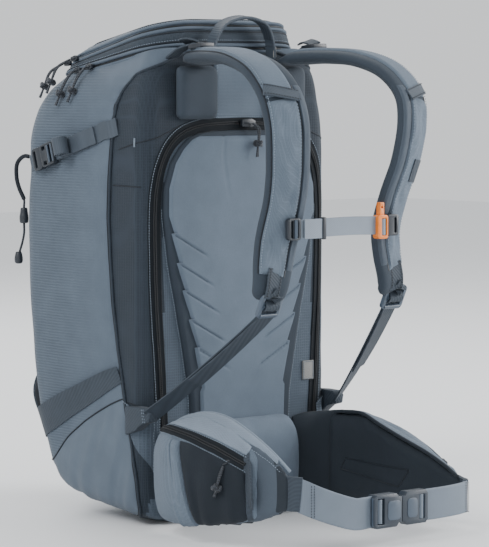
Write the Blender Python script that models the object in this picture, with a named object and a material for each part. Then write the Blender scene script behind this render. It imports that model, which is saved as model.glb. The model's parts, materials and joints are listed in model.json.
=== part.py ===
"""Ski backpack: sewn bag on a framed back, with a hinged lid, harness, hip belt, straps and buckles.

Metres, +Z up. The wearer stands on the -Y side, so the wearer's right is -X. The origin is the
centre of the bounding box, on the plane that the bag stands on.
"""

import math

import bmesh
import bpy
from mathutils import Matrix, Vector

# Driving dimensions
BACK = 0.0185  # Y of the bag's back face
HALF_WIDTH = 0.140
DEPTH = 0.228
WALL = 0.004
GAP = 0.0003
HAUL_TOP = 0.570
HIP_WEBBING = 0.034
STRAP_WEBBING = 0.020
WEB_THICKNESS = 0.002
STRAP_THICKNESS = 0.012
CORD = 0.0022
SIDES = (("right", -1), ("left", 1))

# The lid closes on a plane that falls from the back to the front, where it is hinged
RIM_BACK_Y, RIM_BACK_Z = 0.010, 0.532
RIM_FRONT_Y, RIM_FRONT_Z = 0.205, 0.496
RIM_SLOPE = (RIM_BACK_Z - RIM_FRONT_Z) / (RIM_FRONT_Y - RIM_BACK_Y)
# The flap closes on the lid tray's edge, which stands higher at the back than at the front
FLAP_RISE_BACK, FLAP_RISE = 0.026, 0.013

# Joint axes, as (x, y, z) with y measured from the back face
LID_AXIS = (0, RIM_FRONT_Y + 0.001, RIM_FRONT_Z)
FLAP_AXIS = (0, RIM_FRONT_Y - 0.004, RIM_FRONT_Z + FLAP_RISE)
HAUL_AXIS = (0, -0.002, 0.5235)
HARNESS_AXIS = (0, -0.006, 0.5175)
STERNUM_AT = (0, -0.177, 0.337)
LADDER_AT = (0.0920, -0.161, 0.2665)
WING_AXIS = (0.118, -0.014, 0.050)
HIP_BUCKLE_AT = (0, -0.260, 0.038)

HIP_SLIDERS = {"right": (-0.1625, -0.168, 0.092), "left": (0.1600, -0.168, 0.064)}
# How a hip pocket's cord pull hangs from its slider: reach out from the wing, shift in y, drop
HIP_PULL = (
    (0.0050, 0.000, -0.003), (0.0080, 0.001, -0.012), (0.0100, 0.004, -0.024), (0.0105, 0.008, -0.036),
)

# Bag cross-sections from the base to the rim:
# z at the back, z at the front, half width, y of the back, y of the front, corner radius
BAG_SECTIONS = (
    (0.0033, 0.0033, 0.100, 0.012, 0.078, 0.020),
    (0.0075, 0.027, 0.128, 0.004, 0.156, 0.034),
    (0.022, 0.048, 0.138, 0.001, 0.180, 0.035),
    (0.060, 0.084, HALF_WIDTH, 0.000, 0.198, 0.035),
    (0.130, 0.140, HALF_WIDTH, 0.000, 0.212, 0.035),
    (0.230, 0.230, HALF_WIDTH, 0.000, DEPTH - 0.004, 0.035),
    (0.330, 0.320, HALF_WIDTH, 0.000, DEPTH, 0.035),
    (0.430, 0.410, 0.139, 0.000, DEPTH, 0.036),
    (0.478, 0.450, 0.133, 0.002, 0.227, 0.040),
    (0.508, 0.478, 0.124, 0.005, 0.218, 0.044),
    (RIM_BACK_Z, RIM_FRONT_Z, 0.110, RIM_BACK_Y, RIM_FRONT_Y, 0.048),
)
BAG_LINING = BAG_SECTIONS[:0:-1]

# Lid sections: rise above the rim plane at the back and at the front, half width, y of the back,
# y of the front, corner radius
LID_SECTIONS = (
    (GAP, GAP, 0.110, 0.010, 0.205, 0.048),
    (FLAP_RISE_BACK, FLAP_RISE, 0.104, 0.0125, 0.200, 0.048),
)
FLAP_SECTIONS = (
    (FLAP_RISE_BACK + GAP, FLAP_RISE + GAP, 0.104, 0.0125, 0.200, 0.048),
    (FLAP_RISE_BACK + 0.004, FLAP_RISE + 0.010, 0.100, 0.014, 0.191, 0.046),
    (FLAP_RISE_BACK + 0.008, FLAP_RISE + 0.018, 0.084, 0.024, 0.172, 0.042),
    (FLAP_RISE_BACK + 0.011, FLAP_RISE + 0.023, 0.055, 0.045, 0.145, 0.030),
)

# Shoulder strap centre line, wearer's left: x, y, z, width
STRAP_LINE = (
    (0.066, -0.006, 0.5170, 0.050),
    (0.072, -0.030, 0.5215, 0.052),
    (0.081, -0.066, 0.5225, 0.052),
    (0.088, -0.108, 0.5190, 0.052),
    (0.093, -0.148, 0.5055, 0.052),
    (0.095, -0.175, 0.4810, 0.052),
    (0.092, -0.184, 0.4500, 0.052),
    (0.087, -0.180, 0.4100, 0.051),
    (0.080, -0.170, 0.3700, 0.050),
    (0.079, -0.161, 0.3350, 0.047),
    (0.083, -0.159, 0.3050, 0.040),
    (0.090, -0.160, 0.2720, 0.030),
)
STRAP_TURN = math.radians(17)

# Hip wing sections: x, y, lowest z, highest z, thickness. The left wing hangs lower.
WINGS = {
    "right": (
        (0.118, -0.020, 0.014, 0.114, 0.018),
        (0.134, -0.040, 0.010, 0.120, 0.030),
        (0.146, -0.070, 0.009, 0.132, 0.038),
        (0.151, -0.105, 0.012, 0.137, 0.040),
        (0.149, -0.140, 0.016, 0.134, 0.036),
        (0.143, -0.175, 0.022, 0.121, 0.026),
        (0.135, -0.206, 0.033, 0.103, 0.016),
        (0.127, -0.230, 0.043, 0.083, 0.009),
    ),
    "left": (
        (0.118, -0.020, 0.014, 0.112, 0.018),
        (0.132, -0.040, 0.007, 0.114, 0.032),
        (0.142, -0.070, 0.005, 0.114, 0.044),
        (0.145, -0.105, 0.006, 0.104, 0.052),
        (0.143, -0.140, 0.009, 0.092, 0.044),
        (0.138, -0.175, 0.012, 0.079, 0.026),
        (0.132, -0.206, 0.016, 0.067, 0.016),
        (0.126, -0.230, 0.020, 0.056, 0.009),
    ),
}


# Outline of a hip wing's section: across its thickness and up its height, each from -1 to 1
WING_OUTLINE = (
    (-1, -0.72), (-0.55, -1), (0.55, -1), (1, -0.72), (1, 0.72), (0.55, 1), (-0.55, 1), (-1, 0.72),
)

# Load lifter webbing from the bag to its buckle, wearer's left
LIFTER_ROUTE = ((0.093, 0.0065, 0.5220), (0.091, -0.0070, 0.5290), (0.0865, -0.0215, 0.5335))


def clear_scene():
    for item in list(bpy.data.objects):
        bpy.data.objects.remove(item, do_unlink=True)


def material(name, colour, roughness, metallic=0.0):
    made = bpy.data.materials.new(name)
    made.use_nodes = True
    shader = made.node_tree.nodes["Principled BSDF"]
    shader.inputs["Base Color"].default_value = (*colour, 1.0)
    shader.inputs["Roughness"].default_value = roughness
    shader.inputs["Metallic"].default_value = metallic
    return made


def at(point):
    """A point whose y is measured from the back face, in the part's own frame."""
    return Vector((point[0], point[1] + BACK, point[2]))


def axis_empty(name, point, parent=None):
    """An empty on a joint's axis, which carries the pieces of one moving body."""
    empty = bpy.data.objects.new(name, None)
    bpy.context.collection.objects.link(empty)
    empty.location = at(point)
    if parent is not None:
        empty.location -= parent_place(parent)
        empty.parent = parent
    return empty


def parent_place(empty):
    place = Vector(empty.location)
    while empty.parent is not None:
        empty = empty.parent
        place += empty.location
    return place


def add_mesh(name, mesh, finish, body=None):
    """Puts a mesh that is drawn in the part's frame on its body's empty."""
    made = bpy.data.objects.new(name, mesh)
    bpy.context.collection.objects.link(made)
    mesh.materials.append(finish)
    if body is not None:
        mesh.transform(Matrix.Translation(-parent_place(body)))
        made.parent = body
    return made


def loft(name, rings, finish, body=None):
    """One closed body through rings of equal size, with a cap on each end."""
    shape = bmesh.new()
    loops = [[shape.verts.new(point) for point in ring] for ring in rings]
    size = len(loops[0])
    for lower, upper in zip(loops, loops[1:]):
        for i in range(size):
            j = (i + 1) % size
            shape.faces.new((lower[i], lower[j], upper[j], upper[i]))
    shape.faces.new(loops[0][::-1])
    shape.faces.new(loops[-1])
    bmesh.ops.recalc_face_normals(shape, faces=shape.faces)
    mesh = bpy.data.meshes.new(name)
    shape.to_mesh(mesh)
    shape.free()
    return add_mesh(name, mesh, finish, body)


def slab(name, outline, low, high, axis, finish, body=None):
    """A flat outline given thickness: axis X reads (y, z) pairs, axis Y reads (x, z) pairs."""
    rings = []
    for depth in (low, high):
        if axis == "X":
            rings.append([at((depth, a, b)) for a, b in outline])
        else:
            rings.append([at((a, depth, b)) for a, b in outline])
    return loft(name, rings, finish, body)


def block(name, centre, size, finish, body=None, turn=None, bevel=0.001):
    """A box with bevelled edges, turned about its centre."""
    shape = bmesh.new()
    bmesh.ops.create_cube(shape, size=1.0)
    bmesh.ops.scale(shape, vec=size, verts=shape.verts)
    if bevel > 0:
        bmesh.ops.bevel(shape, geom=shape.edges[:], offset=bevel, segments=1, affect="EDGES")
    if turn is not None:
        bmesh.ops.transform(shape, matrix=turn.to_4x4(), verts=shape.verts)
    bmesh.ops.translate(shape, vec=at(centre), verts=shape.verts)
    mesh = bpy.data.meshes.new(name)
    shape.to_mesh(mesh)
    shape.free()
    return add_mesh(name, mesh, finish, body)


def cut(piece, centre, size, turn=None):
    """Cuts a box-shaped window out of a piece."""
    cutter = block(piece.name + "_cutter", centre, size, piece.data.materials[0], None, turn, 0)
    cutter.hide_render = True
    cutter.display_type = "WIRE"
    window = piece.modifiers.new("window", "BOOLEAN")
    window.operation = "DIFFERENCE"
    window.object = cutter


def smooth_line(points, steps):
    """A Catmull-Rom curve through the points, with this many samples for each stretch."""
    points = [Vector(point) for point in points]
    ends = [2 * points[0] - points[1]] + points + [2 * points[-1] - points[-2]]
    line = []
    for a, b, c, d in zip(ends, ends[1:], ends[2:], ends[3:]):
        for step in range(steps):
            t = step / steps
            square = 2 * a - 5 * b + 4 * c - d
            cube = 3 * b - a - 3 * c + d
            line.append((2 * b + (c - a) * t + square * t**2 + cube * t**3) / 2)
    return line + [points[-1]]


def directions(line):
    """The direction of a line at each of its points."""
    last = len(line) - 1
    return [(line[min(i + 1, last)] - line[max(i - 1, 0)]).normalized() for i in range(len(line))]


def ribbon(name, line, widths, thickness, across, finish, body=None):
    """A flat band along a line. `across` is the way its width runs, one vector or one for each point."""
    rings = []
    for i, (point, along) in enumerate(zip(line, directions(line))):
        side = across[i] if isinstance(across, list) else Vector(across)
        side = (side - side.dot(along) * along).normalized()
        face = along.cross(side)
        half = (widths[i] if isinstance(widths, list) else widths) / 2
        corners = ((-1, -1), (1, -1), (1, 1), (-1, 1))
        rings.append([point + half * u * side + thickness / 2 * v * face for u, v in corners])
    return loft(name, rings, finish, body)


def cord(name, points, diameter, finish, body=None):
    """A free cord as a plain tube through its route, with about two diameters between points."""
    line = smooth_line([at(point) for point in points], 4)
    curve = bpy.data.curves.new(name, "CURVE")
    curve.dimensions = "3D"
    curve.bevel_depth = diameter / 2
    curve.bevel_resolution = 1
    curve.use_fill_caps = True
    spline = curve.splines.new("POLY")
    spline.points.add(len(line) - 1)
    offset = parent_place(body) if body is not None else Vector()
    for target, point in zip(spline.points, line):
        target.co = (*(point - offset), 1.0)
    made = bpy.data.objects.new(name, curve)
    bpy.context.collection.objects.link(made)
    curve.materials.append(finish)
    made.parent = body
    return made


def ring(height, half, back, front, radius):
    """A horizontal rounded rectangle; `height` gives z for a y measured from the back face."""
    steps = 4
    corners = ((1, front, 0), (-1, front, 1), (-1, back, 2), (1, back, 3))
    points = []
    for side, edge, quarter in corners:
        centre_x = side * (half - radius)
        centre_y = edge - radius if edge == front else edge + radius
        for step in range(steps + 1):
            angle = math.pi / 2 * (quarter + step / steps)
            x = centre_x + radius * math.cos(angle)
            y = centre_y + radius * math.sin(angle)
            points.append(at((x, y, height(y))))
    return points


def bag_ring(section, inset=0.0, lift=0.0):
    back_z, front_z, half, back, front, radius = section

    def height(y):
        share = (y - back) / (front - back)
        return back_z + (front_z - back_z) * share + lift

    return ring(height, half - inset, back + inset, front - inset, radius - inset)


def rim_height(back_rise, front_rise):
    """Height above the base of a plane that stands this far over the rim at its back and front."""

    def height(y):
        share = (y - RIM_BACK_Y) / (RIM_FRONT_Y - RIM_BACK_Y)
        return RIM_BACK_Z + back_rise + (RIM_FRONT_Z + front_rise - RIM_BACK_Z - back_rise) * share

    return height


def lid_ring(section, inset=0.0, lift=0.0):
    back_rise, front_rise, half, back, front, radius = section
    height = rim_height(back_rise + lift, front_rise + lift)
    return ring(height, half - inset, back + inset, front - inset, radius - inset)


def main_bag(fabric):
    rings = [bag_ring(section) for section in BAG_SECTIONS]
    rings += [bag_ring(section, WALL) for section in BAG_LINING]
    rings.append(bag_ring(BAG_SECTIONS[0], WALL, WALL))
    return loft("main_bag", rings, fabric)


def lid(fabric, body):
    lower, upper = LID_SECTIONS
    rings = [lid_ring(lower), lid_ring(upper), lid_ring(upper, WALL), lid_ring(lower, WALL, WALL)]
    return loft("lid_shell", rings, fabric, body)


def lid_flap(fabric, body):
    rings = [lid_ring(section) for section in FLAP_SECTIONS[::-1]]
    rings += [lid_ring(section, WALL, -WALL if i else 0.0) for i, section in enumerate(FLAP_SECTIONS[:-1])]
    return loft("lid_flap", rings, fabric, body)


def base_panel(fabric):
    section = (0.0, 0.0, 0.098, 0.014, 0.076, 0.018)
    return loft("base_panel", [bag_ring(section), bag_ring(section, 0, 0.003)], fabric)


def mirrored(outline):
    """The outline's right half, then its mirror, as one closed outline."""
    return list(outline) + [(-x, z) for x, z in reversed(outline)]


def back_parts(foam, dark, fabric):
    panel = mirrored(
        ((0.070, 0.122), (0.082, 0.180), (0.093, 0.250), (0.108, 0.320), (0.114, 0.375), (0.104, 0.408),
         (0.078, 0.430), (0.035, 0.440))
    )
    slab("back_panel", panel, -0.012, -GAP, "Y", foam)
    yoke = mirrored(((0.092, 0.453), (0.096, 0.470), (0.092, 0.508)))
    slab("yoke_pad", yoke, -0.014, -GAP, "Y", fabric)
    lumbar = mirrored(((0.060, 0.014), (0.078, 0.030), (0.080, 0.085), (0.066, 0.116)))
    slab("lumbar_pad", lumbar, -0.024, -GAP, "Y", foam)
    slab("label", mirrored(((0.0085, -0.011), (0.0085, 0.011))), -0.0015, -GAP, "Y", dark)
    bpy.data.objects["label"].location += Vector((0.1045, 0, 0.160))


def back_zip(tape):
    """The U-shaped tape of the back-access zip, round the foam panel."""
    side = [(0.121, -0.0015, 0.070), (0.123, -0.0015, 0.200), (0.124, -0.0015, 0.330)]
    corner = [(0.124 - 0.045 * (1 - math.cos(a)), -0.0015, 0.385 + 0.060 * math.sin(a)) for a in
              (math.pi / 8, math.pi / 4, 3 * math.pi / 8)]
    half = side + corner + [(0.045, -0.0015, 0.4465)]
    route = half + [(-x, y, z) for x, y, z in reversed(half)]
    line = smooth_line([at(point) for point in route], 2)
    across = [along.cross(Vector((0, 1, 0))) for along in directions(line)]
    ribbon("back_zip_tape", line, 0.009, WEB_THICKNESS, across, tape)


def frame_stay(metal):
    """The bent stay that stiffens the back, inside the bag."""
    route = [(0.098, 0.009, 0.045), (0.104, 0.009, 0.20), (0.108, 0.009, 0.36), (0.100, 0.009, 0.425),
             (0.070, 0.009, 0.452)]
    route += [(-x, y, z) for x, y, z in reversed(route)]
    cord("frame_stay", route, 0.006, metal)


def side_parts(side, sign, dark, webbing, plastic):
    """The sewn pieces on one side: edge guard, lower tab, compression strap and its buckle."""
    x_in, x_out = sign * (HALF_WIDTH + GAP), sign * (HALF_WIDTH + 0.0023)
    guard = ((0.042, 0.154), (0.050, 0.176), (0.112, 0.150), (0.172, 0.124), (0.172, 0.094), (0.112, 0.120))
    slab("edge_guard_" + side, guard, x_in, x_out, "X", dark)
    tab = ((0.036, 0.144), (0.000, 0.128), (-0.010, 0.124), (-0.010, 0.112), (0.012, 0.068))
    slab("lower_tab_" + side, tab, x_in, x_out, "X", dark)
    start, slope = Vector((0.0, 0.052, 0.444)), math.atan2(0.041, 0.135)
    along = Vector((0, math.cos(slope), -math.sin(slope)))
    turn = Matrix.Rotation(-slope, 3, "X")
    x_mid = sign * (HALF_WIDTH + 0.0020)
    line = [at(start + along * reach + Vector((x_mid, 0, 0))) for reach in (0.0, 0.05, 0.100)]
    ribbon("compression_webbing_" + side, line, STRAP_WEBBING, WEB_THICKNESS, (0, 0, 1), webbing)
    x_buckle = sign * (HALF_WIDTH + 0.0050)
    centre = start + along * 0.1125 + Vector((x_buckle, 0, 0))
    female = block("compression_buckle_" + side, centre, (0.008, 0.023, 0.025), plastic, None, turn)
    cut(female, centre + along * 0.008, (0.0045, 0.016, 0.019), turn)
    body = axis_empty("axis_compression_clip_" + side, start + along * 0.126 + Vector((x_buckle, 0, 0)))
    centre = start + along * 0.1325 + Vector((x_buckle, 0, 0))
    head = block("compression_clip_" + side, centre, (0.007, 0.016, 0.025), plastic, body, turn)
    reach = centre - along * 0.0125
    tongue = block("compression_tongue", reach, (0.0035, 0.012, 0.017), plastic, body, turn, 0)
    join(head, tongue)


def join(piece, extra):
    """Adds a solid to a piece, so that both are one body."""
    extra.hide_render = True
    extra.display_type = "WIRE"
    union = piece.modifiers.new("join", "BOOLEAN")
    union.operation = "UNION"
    union.object = extra


def front_loops(webbing, elastic, plastic):
    """The elastic loop, its cord lock and tail, and the webbing loop, at the right front corner."""
    body = axis_empty("axis_cord_lock", (-0.126, 0.238, 0.338))
    lock = block("cord_lock", (-0.126, 0.238, 0.338), (0.010, 0.009, 0.018), plastic, body, None, 0.002)
    cut(lock, (-0.126, 0.238, 0.338), (0.0034, 0.0034, 0.03))
    route = [(-0.122, 0.2275, 0.406), (-0.126, 0.238, 0.407), (-0.129, 0.247, 0.398), (-0.129, 0.248, 0.382),
             (-0.128, 0.244, 0.369), (-0.126, 0.238, 0.357), (-0.126, 0.238, 0.348), (-0.126, 0.238, 0.338),
             (-0.126, 0.238, 0.328), (-0.126, 0.238, 0.318), (-0.127, 0.240, 0.307), (-0.128, 0.244, 0.296)]
    cord("front_elastic", route, 0.0028, elastic)
    block("elastic_end_knob", (-0.1285, 0.2455, 0.2885), (0.010, 0.010, 0.014), plastic, None, None, 0.003)
    loop = [(-0.112, 0.217, 0.158), (-0.117, 0.223, 0.150), (-0.119, 0.226, 0.132), (-0.117, 0.220, 0.112),
            (-0.112, 0.2095, 0.100)]
    line = smooth_line([at(point) for point in loop], 3)
    ribbon("front_lower_loop", line, 0.012, WEB_THICKNESS, (1, 0.6, 0), webbing)


def slider_with_pull(name, centre, size, turn, tail, plastic, elastic, body):
    """A zip slider, and the cord pull that hangs from it."""
    block(name, centre, size, plastic, body, turn, 0.0008)
    cord(name + "_pull", tail, CORD, elastic, body)


def lid_sliders(plastic, elastic, lid_body):
    """Two sliders on the lid zip, which stay with the bag, and two on the pocket zip, on the lid."""
    turn = Matrix.Rotation(-math.atan(RIM_SLOPE), 3, "X")
    lid_zip, flap_zip = rim_height(0.0, 0.0), rim_height(FLAP_RISE_BACK, FLAP_RISE)
    places = (
        ("lid_slider_rear", 0.1165, 0.125, lid_zip, None, 0.0),
        ("lid_slider_front", 0.1165, 0.147, lid_zip, None, 0.0),
        ("flap_slider_rear", 0.1105, 0.160, flap_zip, lid_body, 0.009),
        ("flap_slider_front", 0.1050, 0.180, flap_zip, lid_body, 0.009),
    )
    for name, reach, y, height, parent, lean in places:
        z = height(y)
        body = axis_empty("axis_" + name, (-reach, y, z), parent)
        tail = [
            (-reach - 0.0055, y + 0.002, z - 0.001),
            (-reach - 0.0120 - lean, y + 0.004, z - 0.010),
            (-reach - 0.0185 - lean, y + 0.007, z - 0.024),
            (-reach - 0.0235 - lean, y + 0.010, z - 0.040),
        ]
        slider_with_pull(name, (-reach, y, z), (0.006, 0.011, 0.008), turn, tail, plastic, elastic, body)


def back_slider(plastic, elastic):
    centre = (0.0085, -0.0055, 0.4475)
    body = axis_empty("axis_back_slider", centre)
    tail = [
        (0.0120, -0.0095, 0.4470),
        (0.0150, -0.0150, 0.4410),
        (0.0150, -0.0160, 0.4270),
        (0.0120, -0.0165, 0.4090),
    ]
    slider_with_pull("back_slider", centre, (0.022, 0.005, 0.009), None, tail, plastic, elastic, body)


def haul_loop(webbing):
    body = axis_empty("axis_haul_loop", HAUL_AXIS)
    half = [(0.046, -0.002, 0.520), (0.045, -0.003, 0.532), (0.039, -0.005, 0.548), (0.027, -0.007, 0.561)]
    route = half + [(0.0, -0.008, HAUL_TOP - 0.002)] + [(-x, y, z) for x, y, z in reversed(half)]
    line = smooth_line([at(point) for point in route], 3)
    ribbon("haul_loop", line, 0.010, 0.0035, (0, 1, 0), webbing, body)


def shoulder_straps(cover, webbing, plastic, body):
    """Each padded strap with its load lifter, the ladder-lock at its end and the lower webbing."""
    for side, sign in SIDES:
        line = smooth_line([at((sign * x, y, z)) for x, y, z, _ in STRAP_LINE], 3)
        widths = [row[0] for row in smooth_line([(w, 0, 0) for _, _, _, w in STRAP_LINE], 3)]
        across = Vector((math.cos(STRAP_TURN), sign * math.sin(STRAP_TURN), 0))
        ribbon("shoulder_strap_" + side, line, widths, STRAP_THICKNESS, across, cover, body)
        lifter = (sign * 0.084, -0.034, 0.5325)
        tilt = Matrix.Rotation(math.radians(-8), 3, "X")
        buckle = block("lifter_buckle_" + side, lifter, (0.024, 0.020, 0.004), plastic, body, tilt)
        cut(buckle, lifter, (0.018, 0.005, 0.02), tilt)
        route = [(sign * x, y, z) for x, y, z in LIFTER_ROUTE]
        line = smooth_line([at(point) for point in route], 3)
        ribbon("lifter_webbing_" + side, line, 0.015, WEB_THICKNESS, (1, 0, 0), webbing)
        x, y, z = LADDER_AT
        lock_body = axis_empty("axis_ladder_lock_" + side, (sign * x, y, z), body)
        tilt = Matrix.Rotation(math.radians(25), 3, "X")
        centre = Vector((sign * x, y + 0.0045, z - 0.0115))
        lock = block("ladder_lock_" + side, centre, (0.029, 0.006, 0.026), plastic, lock_body, tilt)
        for shift in (-0.0065, 0.0065):
            cut(lock, centre + tilt @ Vector((0, 0, shift)), (0.021, 0.02, 0.005), tilt)
        start = Vector((sign * x, y + 0.014, z - 0.0245))
        end = Vector((sign * 0.1415, -0.013, 0.126))
        sag = Vector((0, 0, -0.003))
        route = [start, start.lerp(end, 0.35) + sag, start.lerp(end, 0.7) + sag, end]
        line = smooth_line([at(point) for point in route], 4)
        turned = Vector((0, 0.6, 0.8))
        across = [Vector((1, 0, 0)).lerp(turned, i / (len(line) - 1) * 0.75) for i in range(len(line))]
        ribbon("lower_webbing_" + side, line, STRAP_WEBBING, WEB_THICKNESS, across, webbing)


def sternum_strap(webbing, orange, plastic, harness):
    body = axis_empty("axis_sternum", STERNUM_AT, harness)
    _, y, z = STERNUM_AT
    line = [at((x, y - 0.003, z)) for x in (-0.0695, 0.0, 0.041)]
    ribbon("sternum_webbing", line, STRAP_WEBBING, WEB_THICKNESS, (0, 0, 1), webbing, body)
    block("sternum_clip", (-0.0785, y - 0.002, z), (0.017, 0.007, 0.022), plastic, body)
    buckle_at = (0.0485, y - 0.004, z + 0.002)
    block("whistle_buckle", buckle_at, (0.014, 0.010, 0.038), orange, body, None, 0.002)
    block("sternum_buckle_mate", (0.0640, y - 0.0045, z), (0.016, 0.008, 0.024), plastic, body)


def wing_ring(section, along, sign):
    """A section of a hip wing, across its length, with eight points."""
    x, y, low, high, thickness = section
    across = Vector((along.y, -along.x, 0)).normalized()
    middle, half = (low + high) / 2, (high - low) / 2
    ring_points = []
    for u, v in WING_OUTLINE:
        point = at((sign * x, y, middle + half * v))
        ring_points.append(point + across * (u * thickness / 2))
    return ring_points


def hip_belt(cover, webbing, plastic, elastic):
    """The two wings, each on its own axis, with pocket slider and pull, webbing and buckle half."""
    bodies = {}
    for side, sign in SIDES:
        x, y, z = WING_AXIS
        bodies[side] = body = axis_empty("axis_hip_wing_" + side, (sign * x, y, z))
        rows = WINGS[side]
        line = [Vector((sign * row[0], row[1], 0)) for row in rows]
        rings = [wing_ring(row, along, sign) for row, along in zip(rows, directions(line))]
        loft("hip_wing_" + side, rings, cover, body)
        tip_z, buckle_z = (rows[-1][2] + rows[-1][3]) / 2, HIP_BUCKLE_AT[2]
        route = [
            (0.1255, -0.2375, tip_z),
            (0.1130, -0.2495, tip_z * 0.7 + buckle_z * 0.3),
            (0.0880, -0.2565, tip_z * 0.3 + buckle_z * 0.7),
            (0.0620, -0.2595, buckle_z),
            (0.0425, -0.2600, buckle_z),
        ]
        line = smooth_line([at((sign * a, b, c)) for a, b, c in route], 2)
        ribbon("hip_webbing_" + side, line, HIP_WEBBING, WEB_THICKNESS, (0, 0, 1), webbing, body)
        hip_slider(side, sign, plastic, elastic, body)
    hip_buckle(plastic, bodies)
    loop = [(-0.1530, -0.1935, 0.090), (-0.1610, -0.1955, 0.083), (-0.1635, -0.1960, 0.068),
            (-0.1605, -0.1955, 0.053), (-0.1520, -0.1935, 0.045)]
    line = smooth_line([at(point) for point in loop], 2)
    ribbon("gear_loop", line, 0.010, WEB_THICKNESS, (0.25, 1, 0), webbing, bodies["right"])


def hip_slider(side, sign, plastic, elastic, wing):
    centre = Vector(HIP_SLIDERS[side])
    turn = Matrix.Rotation(sign * math.radians(-17), 3, "Z") @ Matrix.Rotation(math.radians(17), 3, "X")
    body = axis_empty("axis_hip_slider_" + side, centre, wing)
    tail = [centre + Vector((sign * reach, shift, drop)) for reach, shift, drop in HIP_PULL]
    slider_with_pull("hip_slider_" + side, centre, (0.005, 0.012, 0.008), turn, tail, plastic, elastic, body)


def hip_buckle(plastic, bodies):
    """Side-release buckle: the female half on the right webbing, the male half on the left."""
    x, y, z = HIP_BUCKLE_AT
    female = block("hip_buckle_female", (x - 0.020, y, z), (0.042, 0.013, 0.036), plastic, bodies["right"])
    cut(female, (x - 0.009, y, z), (0.024, 0.0075, 0.030))
    cut(female, (x - 0.031, y, z), (0.006, 0.03, 0.029))
    body = axis_empty("axis_hip_buckle_male", (x + 0.0215, y, z), bodies["left"])
    male = block("hip_buckle_male", (x + 0.0215, y, z), (0.038, 0.011, 0.036), plastic, body)
    cut(male, (x + 0.031, y, z), (0.006, 0.03, 0.029))
    join(male, block("hip_prongs", (x - 0.004, y, z), (0.024, 0.005, 0.026), plastic, body, None, 0))


def build():
    clear_scene()
    fabric = material("slate_fabric", (0.12, 0.155, 0.20), 0.75)
    dark = material("dark_fabric", (0.045, 0.058, 0.075), 0.8)
    foam = material("ribbed_foam", (0.10, 0.13, 0.17), 0.7)
    cover = material("strap_cover", (0.13, 0.165, 0.21), 0.7)
    webbing = material("satin_webbing", (0.17, 0.205, 0.25), 0.5)
    plastic = material("black_plastic", (0.02, 0.025, 0.035), 0.35)
    orange = material("orange_plastic", (0.85, 0.22, 0.02), 0.4)
    elastic = material("cord", (0.03, 0.035, 0.045), 0.7)
    metal = material("aluminium", (0.7, 0.7, 0.72), 0.3, 1.0)

    main_bag(fabric)
    base_panel(fabric)
    back_parts(foam, dark, fabric)
    back_zip(dark)
    frame_stay(metal)
    for side, sign in SIDES:
        side_parts(side, sign, dark, webbing, plastic)
    front_loops(webbing, elastic, plastic)

    lid_body = axis_empty("axis_lid", LID_AXIS)
    lid(fabric, lid_body)
    lid_flap(fabric, axis_empty("axis_lid_flap", FLAP_AXIS, lid_body))
    lid_sliders(plastic, elastic, lid_body)
    back_slider(plastic, elastic)
    haul_loop(webbing)

    harness = axis_empty("axis_harness", HARNESS_AXIS)
    shoulder_straps(cover, webbing, plastic, harness)
    sternum_strap(webbing, orange, plastic, harness)
    hip_belt(cover, webbing, plastic, elastic)


build()
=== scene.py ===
"""Looks of the ski backpack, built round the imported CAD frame: fabrics, padding, zips, webbing and cords.

Metres, +Z up. Points are written as (x, y, z) with y measured from the bag's back face; the
wearer is on the -Y side. Pieces ride on the CAD bodies, so nothing here moves by itself.
"""

import json
import math

import bmesh
import bpy
import numpy as np
from mathutils import Matrix, Vector, noise
from mathutils.bvhtree import BVHTree

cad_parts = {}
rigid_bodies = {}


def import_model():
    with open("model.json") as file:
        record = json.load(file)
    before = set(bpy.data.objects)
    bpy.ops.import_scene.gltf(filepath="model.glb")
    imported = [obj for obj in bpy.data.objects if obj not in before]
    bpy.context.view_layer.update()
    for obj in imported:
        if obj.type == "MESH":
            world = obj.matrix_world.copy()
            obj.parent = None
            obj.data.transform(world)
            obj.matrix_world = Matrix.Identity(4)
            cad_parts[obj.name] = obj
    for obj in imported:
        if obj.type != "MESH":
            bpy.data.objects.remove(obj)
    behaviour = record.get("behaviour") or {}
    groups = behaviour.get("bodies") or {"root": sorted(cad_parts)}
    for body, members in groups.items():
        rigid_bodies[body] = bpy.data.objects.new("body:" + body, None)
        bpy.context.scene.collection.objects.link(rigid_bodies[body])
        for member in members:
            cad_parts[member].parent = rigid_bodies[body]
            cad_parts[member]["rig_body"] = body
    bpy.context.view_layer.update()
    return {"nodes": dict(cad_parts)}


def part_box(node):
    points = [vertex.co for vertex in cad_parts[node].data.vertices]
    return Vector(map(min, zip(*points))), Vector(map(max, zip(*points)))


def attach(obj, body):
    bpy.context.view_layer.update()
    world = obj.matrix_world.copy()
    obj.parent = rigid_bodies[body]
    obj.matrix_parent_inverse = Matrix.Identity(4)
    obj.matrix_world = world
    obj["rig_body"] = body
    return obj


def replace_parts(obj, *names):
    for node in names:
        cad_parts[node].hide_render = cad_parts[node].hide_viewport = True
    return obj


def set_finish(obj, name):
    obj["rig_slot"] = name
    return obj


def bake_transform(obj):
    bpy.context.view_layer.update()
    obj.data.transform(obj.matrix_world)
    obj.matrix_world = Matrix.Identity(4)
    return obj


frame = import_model()
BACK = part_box("main_bag")[0].y
SIDES = (("right", -1), ("left", 1))

# Sizes
THREAD = 0.00045
STITCH_LIFT = 0.0003  # how far a stitch's middle sits off its surface
PIPING = 0.0017
TAPE_WIDTH = 0.016
CORD = 0.0022
ELASTIC = 0.0028
STRAP_WEBBING = 0.020
HIP_WEBBING = 0.034
WEB_THICKNESS = 0.0019
LINING = 0.003

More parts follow.
